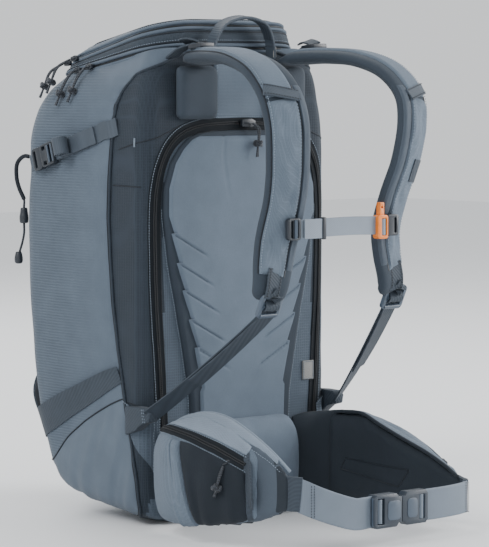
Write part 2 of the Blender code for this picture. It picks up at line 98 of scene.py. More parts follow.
# Bag cross-sections, as in the CAD: z at the back, z at the front, half width, y back, y front, radius
BAG_SECTIONS = (
    (0.0033, 0.0033, 0.100, 0.012, 0.078, 0.020),
    (0.0075, 0.027, 0.128, 0.004, 0.156, 0.034),
    (0.022, 0.048, 0.138, 0.001, 0.180, 0.035),
    (0.060, 0.084, 0.140, 0.000, 0.198, 0.035),
    (0.130, 0.140, 0.140, 0.000, 0.212, 0.035),
    (0.230, 0.230, 0.140, 0.000, 0.224, 0.035),
    (0.330, 0.320, 0.140, 0.000, 0.228, 0.035),
    (0.430, 0.410, 0.139, 0.000, 0.228, 0.036),
    (0.478, 0.450, 0.133, 0.002, 0.227, 0.040),
    (0.508, 0.478, 0.124, 0.005, 0.218, 0.044),
    (0.532, 0.496, 0.110, 0.010, 0.205, 0.048),
)
SECTION_STEPS = (6, 8, 14, 24, 34, 34, 34, 18, 12, 12)
BACK_RADIUS = 0.020

# Where the side piping runs: height, and distance round the bag from the middle of the back
PIPING_AT = (
    (0.003, 0.139), (0.017, 0.141), (0.031, 0.1445), (0.051, 0.1470), (0.087, 0.1545), (0.135, 0.1655),
    (0.195, 0.1785), (0.245, 0.1865), (0.300, 0.1915), (0.342, 0.1940), (0.385, 0.1925), (0.420, 0.1895),
    (0.445, 0.1870), (0.468, 0.1800), (0.484, 0.1680), (0.502, 0.1425), (0.512, 0.1130), (0.523, 0.0820),
    (0.532, 0.0470),
)

# The rear zip's centre line, right half, from the belt up and over to the middle: x, z
ZIP_LINE = (
    (0.111, 0.030), (0.113, 0.100), (0.1175, 0.180), (0.1215, 0.240), (0.1235, 0.300), (0.1240, 0.345),
    (0.1215, 0.376), (0.1150, 0.402), (0.1030, 0.4230), (0.0850, 0.4370), (0.060, 0.4445), (0.030, 0.4470),
    (0.0, 0.4478),
)


def at(x, y, z):
    """A frame point, from one whose y is from the bag's back face."""
    return Vector((x, y + BACK, z))


def smooth(points, steps=4):
    """A Catmull-Rom curve through the points, as an array."""
    rows = np.array([list(point) for point in points], float)
    rows = np.vstack([2 * rows[0] - rows[1], rows, 2 * rows[-1] - rows[-2]])
    t = (np.arange(steps) / steps)[:, None]
    line = []
    for a, b, c, d in zip(rows, rows[1:], rows[2:], rows[3:]):
        bend = (2 * a - 5 * b + 4 * c - d) * t**2 + (3 * b - a - 3 * c + d) * t**3
        line.append(0.5 * (2 * b + (c - a) * t + bend))
    return np.vstack(line + [rows[-2]])


def evenly(line, pitch):
    """The line sampled again at an even pitch."""
    line = np.array([list(point) for point in line], float)
    reach = np.concatenate([[0], np.cumsum(np.linalg.norm(np.diff(line[:, :3], axis=0), axis=1))])
    count = max(2, round(reach[-1] / pitch) + 1)
    places = np.linspace(0, reach[-1], count)
    return np.column_stack([np.interp(places, reach, column) for column in line.T])


def placed(points, steps=4):
    """A smooth line in the frame, through points whose y is from the back face."""
    return smooth([at(*point[:3]) for point in points], steps)


def mirrored(points, sign):
    """The points with their x times the sign."""
    return [(sign * x, y, z) for x, y, z in points]


def unit(vectors):
    """The vectors, each with length one."""
    return vectors / np.maximum(np.linalg.norm(vectors, axis=-1, keepdims=True), 1e-12)


def tangents(line):
    """The direction of a line at each of its points."""
    return unit(np.gradient(line, axis=0))


# ---------------------------------------------------------------- materials


RIB_PITCH = 0.0032
WEAVE = 0.0006  # the pitch of the fabrics' threads


def shader_of(name, colour, roughness, metallic=0.0, sheen=0.0, specular=0.5):
    """A new material with its nodes, its links and its shader."""
    made = bpy.data.materials.new(name)
    made.use_nodes = True
    shader = made.node_tree.nodes["Principled BSDF"]
    shader.inputs["Base Color"].default_value = (*colour, 1)
    shader.inputs["Roughness"].default_value = roughness
    shader.inputs["Metallic"].default_value = metallic
    shader.inputs["Specular IOR Level"].default_value = specular
    if sheen > 0:
        shader.inputs["Sheen Weight"].default_value = sheen
        shader.inputs["Sheen Roughness"].default_value = 0.5
    return made, made.node_tree.nodes, made.node_tree.links, shader


def maths(nodes, links, operation, a, b=None, c=None):
    """A math node on values or sockets."""
    made = nodes.new("ShaderNodeMath")
    made.operation = operation
    for socket, value in zip(made.inputs, (a, b, c)):
        if value is None:
            continue
        if isinstance(value, (int, float)):
            socket.default_value = value
        else:
            links.new(value, socket)
    return made.outputs[0]


def waves(nodes, links, where, direction, pitch):
    """Bands 0 to 1 across one axis of the object, one for each pitch."""
    wave = nodes.new("ShaderNodeTexWave")
    wave.wave_type = "BANDS"
    wave.bands_direction = direction
    wave.wave_profile = "SIN"
    wave.inputs["Scale"].default_value = 2 * math.pi / pitch / 20
    wave.inputs["Distortion"].default_value = 0
    links.new(where, wave.inputs["Vector"])
    return wave.outputs["Fac"]


def noise_of(nodes, links, where, scale, detail):
    """Cloudy noise from 0 to 1."""
    made = nodes.new("ShaderNodeTexNoise")
    made.inputs["Scale"].default_value = scale
    made.inputs["Detail"].default_value = detail
    links.new(where, made.inputs["Vector"])
    return made.outputs["Fac"]


def tinted(nodes, links, shader, colour, share, low, high):
    """Colour between low and high times itself, by a 0 to 1 pattern."""
    ramp = nodes.new("ShaderNodeValToRGB")
    ramp.color_ramp.elements[0].color = (*[c * low for c in colour], 1)
    ramp.color_ramp.elements[1].color = (*[min(1, c * high) for c in colour], 1)
    links.new(share, ramp.inputs["Fac"])
    links.new(ramp.outputs["Color"], shader.inputs["Base Color"])


def bumped(nodes, links, shader, height, strength, distance=0.0004):
    """Fine relief from a height pattern."""
    bump = nodes.new("ShaderNodeBump")
    bump.inputs["Strength"].default_value = strength
    bump.inputs["Distance"].default_value = distance
    links.new(height, bump.inputs["Height"])
    links.new(bump.outputs["Normal"], shader.inputs["Normal"])


def fabric(name, colour, roughness=0.72, rib=0.0, grid=0.0, grid_pitch=0.0031, strength=0.55, vary=0.10):
    """Woven cloth: a fine weave, cloudy colour, and ribs across Z or a ripstop grid where it has them."""
    made, nodes, links, shader = shader_of(name, colour, roughness, sheen=0.07, specular=0.2)
    where = nodes.new("ShaderNodeTexCoord").outputs["Object"]
    clouds = noise_of(nodes, links, where, 38, 4)
    fine = noise_of(nodes, links, where, 900, 1)
    warp, weft = (waves(nodes, links, where, axis, WEAVE) for axis in "XZ")
    threads = maths(nodes, links, "MULTIPLY", maths(nodes, links, "MULTIPLY", warp, weft), 0.35)
    height = maths(nodes, links, "MULTIPLY_ADD", fine, 0.5, threads)
    share = maths(nodes, links, "MULTIPLY_ADD", fine, 0.35, maths(nodes, links, "MULTIPLY", clouds, 0.65))
    if rib > 0:
        mask = nodes.new("ShaderNodeAttribute")
        mask.attribute_name = "rib"
        lines = maths(nodes, links, "MULTIPLY", waves(nodes, links, where, "Z", RIB_PITCH),
                      mask.outputs["Fac"])
        height = maths(nodes, links, "MULTIPLY_ADD", lines, rib, height)
        share = maths(nodes, links, "MULTIPLY_ADD", mask.outputs["Fac"], -0.45, share)
        share = maths(nodes, links, "MULTIPLY_ADD", lines, 0.45, share)
    if grid > 0:
        lines, up, deep = (waves(nodes, links, where, axis, grid_pitch) for axis in "XZY")
        lines = maths(nodes, links, "MAXIMUM", lines, maths(nodes, links, "MAXIMUM", up, deep))
        lines = maths(nodes, links, "POWER", lines, 9.0)
        height = maths(nodes, links, "MULTIPLY_ADD", lines, grid, height)
        share = maths(nodes, links, "MULTIPLY_ADD", lines, 0.55, share)
    tinted(nodes, links, shader, colour, share, 1 - 2.2 * vary, 1 + 2.6 * vary)
    bumped(nodes, links, shader, height, strength)
    return made


def twill(name, colour, pitch=0.0016, roughness=0.55, across="DIAGONAL", strength=0.7, sheen=0.05, vary=0.16):
    """Webbing: close diagonal or straight ribs with a satin face."""
    made, nodes, links, shader = shader_of(name, colour, roughness, sheen=sheen, specular=0.3)
    where = nodes.new("ShaderNodeTexCoord").outputs["Object"]
    lines = waves(nodes, links, where, across, pitch)
    fine = noise_of(nodes, links, where, 700, 2)
    clouds = noise_of(nodes, links, where, 60, 2)
    share = maths(nodes, links, "MULTIPLY_ADD", lines, 0.4, maths(nodes, links, "MULTIPLY", clouds, 0.6))
    tinted(nodes, links, shader, colour, share, 1 - 1.5 * vary, 1 + 1.8 * vary)
    bumped(nodes, links, shader, maths(nodes, links, "MULTIPLY_ADD", fine, 0.4, lines), strength, 0.0003)
    return made


def plastic(name, colour, roughness=0.38):
    """Moulded plastic with a fine spark-eroded grain and slightly worn gloss."""
    made, nodes, links, shader = shader_of(name, colour, roughness, specular=0.5)
    where = nodes.new("ShaderNodeTexCoord").outputs["Object"]
    grain = noise_of(nodes, links, where, 1500, 2)
    clouds = noise_of(nodes, links, where, 90, 3)
    tinted(nodes, links, shader, colour, clouds, 0.8, 1.3)
    gloss = nodes.new("ShaderNodeMapRange")
    gloss.inputs["To Min"].default_value = roughness - 0.06
    gloss.inputs["To Max"].default_value = roughness + 0.12
    links.new(clouds, gloss.inputs["Value"])
    links.new(gloss.outputs["Result"], shader.inputs["Roughness"])
    bumped(nodes, links, shader, grain, 0.25, 0.0001)
    return made


def braid(name, colour):
    """Braided cord: two crossing sets of diagonal strands."""
    made, nodes, links, shader = shader_of(name, colour, 0.7, sheen=0.2, specular=0.35)
    where = nodes.new("ShaderNodeTexCoord").outputs["Object"]
    slanted, level = (waves(nodes, links, where, axis, 0.0013) for axis in ("DIAGONAL", "Z"))
    strands = maths(nodes, links, "MULTIPLY", slanted, level)
    tinted(nodes, links, shader, colour, strands, 0.6, 2.6)
    bumped(nodes, links, shader, strands, 0.8, 0.0003)
    return made


def brushed(name, colour):
    """Brushed metal."""
    made, nodes, links, shader = shader_of(name, colour, 0.32, metallic=1.0)
    where = nodes.new("ShaderNodeTexCoord").outputs["Object"]
    grain = noise_of(nodes, links, where, 600, 3)
    tinted(nodes, links, shader, colour, grain, 0.85, 1.1)
    bumped(nodes, links, shader, grain, 0.2, 0.0001)
    return made


BODY = fabric("body_fabric", (0.094, 0.122, 0.158), rib=1.6, vary=0.11)
BASE = fabric("base_fabric", (0.100, 0.129, 0.166), roughness=0.6, vary=0.09)
GUSSET = fabric("gusset_ripstop", (0.022, 0.030, 0.041), grid=1.2, vary=0.13)
STRIP = fabric("back_ripstop", (0.064, 0.084, 0.110), grid=1.2, vary=0.13)
MESH = fabric("lid_mesh", (0.034, 0.045, 0.059), grid=1.4, grid_pitch=0.0022, vary=0.14)
LID = fabric("lid_fabric", (0.090, 0.117, 0.152), vary=0.1)
BAND = twill("edge_band", (0.035, 0.047, 0.063), 0.0021, roughness=0.65)
BINDING = twill("dark_binding", (0.012, 0.016, 0.023), 0.0012, roughness=0.7)
TAPE = twill("zip_tape", (0.007, 0.010, 0.014), 0.0011, roughness=0.85, across="X", strength=0.5, sheen=0.0)
COIL = plastic("zip_coil", (0.008, 0.010, 0.013), 0.55)
FOAM = fabric("back_foam", (0.120, 0.155, 0.200), roughness=0.78, strength=0.7, vary=0.09)
FOAM_BASE = fabric("foam_edge", (0.034, 0.045, 0.060), roughness=0.8, vary=0.1)
COVER = fabric("strap_cover", (0.108, 0.139, 0.178), grid=0.9, grid_pitch=0.0016, vary=0.1)
RIM = fabric("strap_rim", (0.036, 0.048, 0.064), roughness=0.75, vary=0.1)
TIP = fabric("wing_tip", (0.062, 0.080, 0.104), roughness=0.6, vary=0.1)
PAD = fabric("pad_cover", (0.040, 0.053, 0.070), roughness=0.7, vary=0.1)
WING = fabric("wing_fabric", (0.021, 0.028, 0.037), roughness=0.7, vary=0.1)
PALE = fabric("pale_fabric", (0.17, 0.21, 0.26), roughness=0.6, grid=0.5, grid_pitch=0.0016, vary=0.1)
STRETCH = fabric("stretch_panel", (0.014, 0.019, 0.026), roughness=0.8, vary=0.12)
WEBBING = twill("satin_webbing", (0.150, 0.184, 0.228), 0.0012, roughness=0.45, across="X", strength=0.4,
                vary=0.07)
GREY_WEBBING = twill("strap_webbing_dark", (0.055, 0.071, 0.092), 0.0014, across="X", vary=0.1)
PALE_WEBBING = twill("pale_webbing", (0.205, 0.243, 0.292), 0.0012, strength=0.4, vary=0.08)
BLACK = plastic("black_plastic", (0.018, 0.023, 0.031))
SLATE = plastic("slate_plastic", (0.060, 0.083, 0.115), 0.34)
DARK_SLATE = plastic("dark_slate_plastic", (0.027, 0.037, 0.051), 0.36)
ORANGE = plastic("orange_plastic", (0.80, 0.20, 0.02), 0.36)
CORD_BLACK = braid("cord", (0.026, 0.031, 0.040))
THREAD_LIGHT = twill("thread_light", (0.21, 0.26, 0.32), 0.0006)
THREAD_DARK = twill("thread_dark", (0.015, 0.019, 0.025), 0.0006)
LABEL = twill("label_weave", (0.25, 0.25, 0.245), 0.0009, roughness=0.8)
ALLOY = brushed("aluminium", (0.70, 0.70, 0.72))
LINER = fabric("liner_fabric", (0.20, 0.215, 0.235), roughness=0.55, grid=0.8, grid_pitch=0.004, vary=0.1)


# ---------------------------------------------------------------- mesh tools


def add(name, verts, faces, finish, body, slot=None):
    """A mesh piece that rides on a body. `finish` is a material or a list of them."""
    mesh = bpy.data.meshes.new(name)
    mesh.from_pydata([tuple(v) for v in verts], [], [tuple(int(i) for i in f) for f in faces])
    for material in finish if isinstance(finish, list) else [finish]:
        mesh.materials.append(material)
    made = bpy.data.objects.new(name, mesh)
    bpy.context.scene.collection.objects.link(made)
    mesh.shade_smooth()
    if body is not None:
        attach(made, body)
    if slot is not None:
        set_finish(made, slot)
    return made


def strip_faces(rows, columns, closed=False):
    """Quad indices of a grid whose rows are joined in order; closed joins the last column to the first."""
    faces = []
    for i in range(rows - 1):
        for j in range(columns if closed else columns - 1):
            k = (j + 1) % columns
            faces.append((i * columns + j, i * columns + k, (i + 1) * columns + k, (i + 1) * columns + j))
    return faces


def skin(name, rings, finish, body, slot=None, caps=True):
    """A closed body through rings of equal size."""
    rings = np.array(rings, float)
    rows, columns = rings.shape[:2]
    faces = strip_faces(rows, columns, True)
    if caps:
        faces.append(tuple(range(columns))[::-1])
        faces.append(tuple(range((rows - 1) * columns, rows * columns)))
    made = add(name, rings.reshape(-1, 3), faces, finish, body, slot)
    return outward(made)


def outward(made):
    """Turns a piece's faces outward, and keeps its steep edges sharp."""
    shape = bmesh.new()
    shape.from_mesh(made.data)
    bmesh.ops.recalc_face_normals(shape, faces=shape.faces)
    shape.to_mesh(made.data)
    shape.free()
    made.data.set_sharp_from_angle(angle=math.radians(50))
    return made


def frames_of(line, side):
    """For each point of a line, the way across it and the way off its face."""
    along = tangents(line)
    side = np.broadcast_to(np.array(side, float), line.shape)
    across = unit(side - (side * along).sum(1)[:, None] * along)
    return across, np.cross(along, across)


def ribbon_rings(line, width, thickness, side):
    """Cross-sections of webbing: a flat band with rounded, slightly thicker edges."""
    across, face = frames_of(line, side)
    width = np.broadcast_to(np.array(width, float), len(line))[:, None, None]
    profile = ((-1, -0.6), (-0.97, -1), (-0.86, -0.9), (0, -0.8), (0.86, -0.9), (0.97, -1), (1, -0.6),
               (1, 0.6), (0.97, 1), (0.86, 0.9), (0, 0.8), (-0.86, 0.9), (-0.97, 1), (-1, 0.6))
    u = np.array([p[0] for p in profile])[None, :, None]
    v = np.array([p[1] for p in profile])[None, :, None]
    return line[:, None] + across[:, None] * u * width / 2 + face[:, None] * v * thickness / 2


def ribbon(name, line, width, side, finish, body, thickness=WEB_THICKNESS, slot="satin_webbing"):
    """A band of webbing along a line, `side` pointing across it."""
    return skin(name, ribbon_rings(line, width, thickness, side), finish, body, slot)


def tube_rings(line, radius, sides):
    """Circles along a line, each turned with its direction."""
    along = tangents(line)
    normal = np.cross(along[0], (0.3, 0.5, 0.81))
    rings = []
    for i, way in enumerate(along):
        normal = normal - normal.dot(way) * way
        normal /= np.linalg.norm(normal)
        other = np.cross(way, normal)
        angles = np.arange(sides) * 2 * math.pi / sides
        r = radius if np.isscalar(radius) else radius[i]
        rings.append(line[i] + r * (np.cos(angles)[:, None] * normal + np.sin(angles)[:, None] * other))
    return np.array(rings)


def tube(name, line, radius, finish, body, slot=None, sides=8):
    """A round rod along a line."""
    return skin(name, tube_rings(np.array(line, float), radius, sides), finish, body, slot)


def stitches(name, line, normals, finish, body, pitch=0.0030, length=0.0019, slot=None):
    """A row of thread dashes that lie on a surface along a line."""
    normals = np.broadcast_to(np.array(normals, float), line.shape)
    rows = evenly(np.hstack([line, normals]), pitch)
    points, normals = rows[:, :3], unit(rows[:, 3:])
    along = tangents(points)
    verts, faces = [], []
    for point, normal, way in zip(points, normals, along):
        side = np.cross(way, normal)
        middle = point + normal * STITCH_LIFT
        start = len(verts)
        for u, r in ((-0.5, 0.35), (-0.2, 1), (0.2, 1), (0.5, 0.35)):
            centre = middle + way * u * length
            for a, b in ((-1, -0.6), (1, -0.6), (0.7, 0.7), (-0.7, 0.7)):
                verts.append(centre + side * a * THREAD * r + normal * b * THREAD * r)
        for k in range(3):
            for j in range(4):
                m = (j + 1) % 4
                low = start + 4 * k
                faces.append((low + j, low + m, low + 4 + m, low + 4 + j))
        faces.append((start + 3, start + 2, start + 1, start))
        faces.append((start + 12, start + 13, start + 14, start + 15))
    return outward(add(name, verts, faces, finish, body, slot))


def on_surface(tree, line, lift=0.0):
    """The line laid on a surface: its points lifted off it, and the surface's normals there."""
    points, normals = [], []
    for point in line:
        spot, normal, _, _ = tree.find_nearest(Vector(point))
        points.append(spot + normal * lift)
        normals.append(normal)
    return np.array(points), np.array(normals)


def tree_of(item):
    """A piece's surface, ready for finding its nearest points."""
    verts = [v.co.copy() for v in item.data.vertices]
    return BVHTree.FromPolygons(verts, [list(p.vertices) for p in item.data.polygons])


def wobble(points, scale, amount, seed=0.0):
    """Smooth noise for each point, from -amount to amount."""
    spots = [Vector((p[0] * scale + seed, p[1] * scale, p[2] * scale)) for p in points]
    return np.array([noise.noise(spot) for spot in spots]) * amount


def soft_block(name, centre, size, finish, body, turn=None, bevel=0.0012, slot=None):
    """A moulded block with rounded edges."""
    shape = bmesh.new()
    bmesh.ops.create_cube(shape, size=1.0)
    bmesh.ops.scale(shape, vec=size, verts=shape.verts)
    mesh = bpy.data.meshes.new(name)
    shape.to_mesh(mesh)
    shape.free()
    mesh.materials.append(finish)
    made = bpy.data.objects.new(name, mesh)
    bpy.context.scene.collection.objects.link(made)
    rounding = made.modifiers.new("rounding", "BEVEL")
    rounding.width = bevel
    rounding.segments = 3
    rounding.limit_method = "ANGLE"
    apply_modifiers(made)
    turning = turn.to_4x4() if turn is not None else Matrix.Identity(4)
    made.data.transform(Matrix.Translation(centre) @ turning)
    made.data.shade_smooth()
    made.data.set_sharp_from_angle(angle=math.radians(40))
    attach(made, body)
    if slot is not None:
        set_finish(made, slot)
    return made


def apply_modifiers(made):
    """Bakes a piece's modifiers into its mesh."""
    graph = bpy.context.evaluated_depsgraph_get()
    graph.update()
    mesh = bpy.data.meshes.new_from_object(made.evaluated_get(graph))
    made.modifiers.clear()
    made.data = mesh


def joined(name, parts):
    """Several mesh pieces as one, which keeps the first one's body and slot."""
    bpy.context.view_layer.update()
    first = parts[0]
    verts, faces, owners, materials = [], [], [], []
    for part in parts:
        base = len(verts)
        verts += [part.matrix_world @ v.co for v in part.data.vertices]
        if part.data.materials[0] not in materials:
            materials.append(part.data.materials[0])
        for face in part.data.polygons:
            faces.append([base + i for i in face.vertices])
            owners.append(materials.index(part.data.materials[min(face.material_index, 0)]))
    made = add(name, verts, faces, materials, None)
    made.data.polygons.foreach_set("material_index", owners)
    made.data.set_sharp_from_angle(angle=math.radians(45))
    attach(made, first["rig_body"])
    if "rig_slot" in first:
        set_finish(made, first["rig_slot"])
    for part in parts:
        bpy.data.objects.remove(part)
    made.name = name
    return made


# ---------------------------------------------------------------- bag body


def bag_levels():
    """The bag's sections, sampled finely from the base to the rim."""
    rows = np.array(BAG_SECTIONS)
    dense = smooth(rows, 24)
    fine = [dense[24 * k:24 * (k + 1):max(1, 24 // steps)] for k, steps in enumerate(SECTION_STEPS)]
    return np.vstack(fine + [rows[-1:]])


def half_ring(half, back, front, back_radius, radius):
    """Half of a rounded rectangle, from the middle of the back round +X to the middle of the front."""
    angle = np.linspace(0, math.pi / 2, 13)
    rise, run = 1 - np.sin(angle), 1 - np.cos(angle)
    rear = np.column_stack([half - back_radius * rise, back + back_radius * run])
    nose = np.column_stack([half - radius * run, front - radius * rise])
    return np.vstack([[(0, back)], rear, nose, [(0, front)]])


SEAM_Y = (0.036, 0.060, 0.091, 0.115, 0.137, 0.163, 0.190)
SEAM_Z = (0.141, 0.132, 0.116, 0.101, 0.086, 0.061, 0.052)


def band_height(y):
    """Height of the lower seam on the bag's side, which falls towards the front."""
    return np.interp(y, SEAM_Y, SEAM_Z)


def strap_height(y):
    """Height of the compression strap on the bag's side."""
    return 0.444 - 0.304 * (y - 0.052)


def bulge(place, distance, y, z, half, front):
    """How far the stuffed bag stands out past its section."""
    side = np.sin(math.pi * np.clip((y - 0.05) / (front - 0.085), 0, 1)) ** 0.8
    face = np.cos(np.clip(np.abs(place) / half, 0, 1) * math.pi / 2) ** 0.7
    pinch = 1 - 0.95 * np.exp(-(((z - strap_height(y)) / 0.026) ** 2))
    pinch *= 1 - 0.7 * np.exp(-(((z - band_height(y) - 0.020) / 0.03) ** 2))
    ends = np.clip((0.512 - z) / 0.05, 0, 1) * np.clip((z - 0.01) / 0.05, 0, 1)
    on_face = np.clip((y - (front - 0.035)) / 0.03, 0, 1)
    puff = 0.0022 * (1 - np.exp(-distance / 0.010))
    return ends * (puff * pinch + 0.0036 * side * pinch * (1 - on_face) + 0.0060 * face * on_face)


def wrinkles(points, distance, y, z):
    """Folds of the fabric: soft dents, puckers along the piping's top bend, drag lines over the base."""
    soft = wobble(points, 17, 0.0009) + wobble(points, 46, 0.00035, 7)
    ends = np.clip((0.520 - z) / 0.02, 0, 1)
    pucker = np.exp(-distance / 0.020) * np.exp(-(((z - 0.468) / 0.035) ** 2))
    waves_up = np.sin(2 * math.pi * (z / 0.0125 + wobble(points, 30, 0.5, 3)))
    base = np.clip((band_height(y) - z) / 0.02, 0, 1) * np.clip(z / 0.02, 0, 1)
    drag = np.array([noise.noise(Vector((p[1] * 75 + p[2] * 26, p[2] * 6, p[0] * 9))) for p in points])
    strap = np.exp(-(((z - strap_height(y) - 0.006) / 0.020) ** 2)) * np.clip((y - 0.07) / 0.05, 0, 1)
    pull = np.array([noise.noise(Vector((p[1] * 20, p[2] * 90, p[0] * 10))) for p in points])
    return soft * ends + pucker * waves_up * 0.0011 + base * drag * 0.0026 + strap * pull * 0.0010


BEHIND, AHEAD = 46, 104  # columns of the bag's half ring behind and ahead of its side seam


def bag_grid():
    """Points of the bag's outer surface, a row for each level, and the seam distance at each point."""
    rows, gaps = [], []
    for back_z, front_z, half, back, front, radius in bag_levels():
        outline = half_ring(half, back, front, min(BACK_RADIUS, radius), radius)
        reach = np.concatenate([[0], np.cumsum(np.linalg.norm(np.diff(outline, axis=0), axis=1))])
        seam, height = 0.15, back_z
        for _ in range(4):
            seam = float(np.interp(height, *zip(*PIPING_AT)))
            y = np.interp(seam, reach, outline[:, 1])
            height = back_z + (front_z - back_z) * (y - back) / (front - back)
        seam = min(seam, reach[-1] * 0.8)
        places = np.concatenate([np.linspace(0, seam, BEHIND + 1),
                                 np.linspace(seam, reach[-1], AHEAD + 1)[1:]])
        x, y = (np.interp(places, reach, column) for column in outline.T)
        z = back_z + (front_z - back_z) * (y - back) / (front - back)
        along = unit(np.gradient(np.column_stack([x, y]), axis=0))
        distance = np.abs(places - seam)
        ahead = places >= seam
        stand = np.where(ahead, bulge(x, distance, y, z, half, front), 0)
        hollow = np.clip(distance / 0.004, 0, 1) * np.clip((places - 0.118) / 0.01, 0, 1)
        stand = np.where(ahead, stand, -0.0016 * hollow * np.clip((0.50 - z) / 0.03, 0, 1))
        stand -= 0.0010 * np.exp(-((distance / 0.0016) ** 2)) * ahead
        x, y = x + along[:, 1] * stand, y - along[:, 0] * stand
        rows.append(np.column_stack([x, y + BACK, z]))
        gaps.append(np.where(ahead, distance, -distance))
    return np.array(rows), np.array(gaps)


def bag_body():
    """The sewn shell: side and front fabric, base fabric, gusset and back, with its lining."""
    half, gaps = bag_grid()
    mirror = half[:, -2:0:-1] * (-1, 1, 1)
    grid = np.concatenate([half, mirror], axis=1)
    gap = np.concatenate([gaps, gaps[:, -2:0:-1]], axis=1)
    rows, columns = gap.shape
    points = grid.reshape(-1, 3)
    y, z = points[:, 1] - BACK, points[:, 2]
    faces = strip_faces(rows, columns, True)
    faces.append(tuple(range(columns))[::-1])
    finishes = [BODY, BASE, GUSSET, STRIP] + [LINER] * 4
    made = add("bag_body", points, faces, finishes, None, "slate_fabric")
    outward(made)
    normals = np.array([v.normal for v in made.data.vertices])
    gap = gap.ravel()
    fold = np.where(gap >= 0, wrinkles(points, np.abs(gap), y, z), wobble(points, 30, 0.0005))
    points = points + normals * fold[:, None]
    made.data.vertices.foreach_set("co", points.astype(np.float32).ravel())
    # The rib mask ramps in toward the bag's front; where it is high the body fabric is ribbed and runs
    # darker.
    rib = np.clip((y - 0.065) / 0.085, 0, 1) * np.clip((z - band_height(y)) / 0.002, 0, 1)
    mask = made.data.attributes.new("rib", "FLOAT", "POINT")
    mask.data.foreach_set("value", rib.astype(np.float32))
    zip_x, zip_z = zip(*ZIP_LINE[::-1])
    for face in made.data.polygons:
        centre = face.center
        if all(gap[i] >= 0 for i in face.vertices):
            face.material_index = int(centre.z < band_height(centre.y - BACK))
        else:
            inside = centre.z < np.interp(abs(centre.x), zip_x, zip_z) and abs(centre.x) < 0.128
            face.material_index = 3 if inside and centre.y < BACK + 0.012 else 2
    surface = tree_of(made)
    lining = made.modifiers.new("lining", "SOLIDIFY")
    lining.thickness = LINING
    lining.offset = -1
    lining.material_offset = 4
    apply_modifiers(made)
    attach(made, "bag")
    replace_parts(made, "main_bag")
    return half, surface


def laid_band(name, tree, line, width, finish, body, slot, lift=0.0010, flare=(0, 0, 0, 0, 0)):
    """A band of cloth or tape laid on a surface, with `flare` more lift across it."""
    line = np.array(line, float)
    spots, normals = on_surface(tree, line)
    across = unit(np.cross(tangents(spots), normals))
    width = np.broadcast_to(np.array(width, float), len(line))
    top, bottom = [], []
    for u, extra in zip((-1, -0.5, 0, 0.5, 1), flare):
        points, ways = on_surface(tree, spots + across * (u * width / 2)[:, None])
        top.append(points + ways * (lift + extra))
        bottom.append(points + ways * (lift + extra - 0.0011 if extra else -0.0004))
    rings = np.stack(top + bottom[::-1], axis=1)
    return skin(name, rings, finish, body, slot)


COIL_GAP, COIL_RADIUS, COIL_PITCH = 0.0011, 0.0010, 0.0022


def zip_coil(name, line, normals, body):
    """The two rows of coil teeth, as beaded ridges side by side."""
    rows = evenly(np.hstack([line, normals]), COIL_PITCH / 4)
    line, normals = rows[:, :3], unit(rows[:, 3:])
    across = np.cross(tangents(line), normals)
    radii = COIL_RADIUS * (0.86 + 0.22 * np.cos(np.arange(len(line)) * math.pi / 2))
    pair = []
    for k in (-1, 1):
        rings = tube_rings(line + across * k * COIL_GAP, radii, 6)
        pair.append(skin(name + str(k), rings, COIL, body, "dark_fabric"))
    joined(name, pair)


def shifted(line, normals, amount):
    """A line moved sideways on its surface."""
    return line + np.cross(tangents(line), normals) * amount


def bag_trim(half, surface):
    """Piping with a dark rod of painted shade in its groove, seams, edge guards, tabs and stitching on the
    bag's sides.
    """
    seam = half[3:, BEHIND]
    behind = half[3:, BEHIND - 1] - seam
    for side, sign in SIDES:
        flip = np.array((sign, 1, 1))
        ridge = on_surface(surface, (seam + unit(behind) * 0.0021) * flip, 0.0006)[0]
        tube("piping_" + side, evenly(ridge, 0.004), PIPING, GUSSET, "bag", "dark_fabric")
        # A dark rod laid in the groove in front of the piping: painted shade for the recess.
        groove = on_surface(surface, (seam - unit(behind) * 0.0004) * flip, 0.0002)[0]
        tube("piping_groove_shade_" + side, evenly(groove, 0.004), 0.0009, BINDING, "bag", "dark_fabric", 6)
        reaches = (0.037, 0.055, 0.075, 0.095, 0.115, 0.135, 0.155, 0.170)
        edge = [(0.140, y, float(band_height(y))) for y in reaches]
        edge += [(0.136, 0.188, 0.054), (0.115, 0.200, 0.052), (0.06, 0.21, 0.052)]
        line = on_surface(surface, placed(mirrored(edge, sign), 4), 0.0003)[0]
        tube("base_seam_" + side, line, 0.0009, BINDING, "bag", "dark_fabric", 6)
        side_guard(side, sign, surface)
        side_tab(side, sign, surface)
        gusset_seams(side, sign, surface)


def side_guard(side, sign, surface):
    """The edge guard that a ski's edge rubs on: a ribbed band, loose along its lower edge."""
    route = [(0.140, 0.042, 0.1675), (0.141, 0.060, 0.1605), (0.141, 0.085, 0.1490), (0.141, 0.112, 0.1365),
             (0.140, 0.140, 0.1240), (0.139, 0.168, 0.1100), (0.134, 0.190, 0.1010), (0.118, 0.205, 0.0960),
             (0.095, 0.212, 0.0950)]
    line = placed(mirrored(route, sign), 5)
    width = np.interp(np.linspace(0, 1, len(line)), (0, 0.25, 0.6, 1), (0.019, 0.026, 0.033, 0.034))
    flare = (0.0002, 0.0004, 0.0008, 0.0016, 0.0030)[::sign * -1]
    made = laid_band("edge_guard_" + side, surface, line, width, BAND, "bag", "dark_fabric", 0.0014, flare)
    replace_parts(made, "edge_guard_" + side)


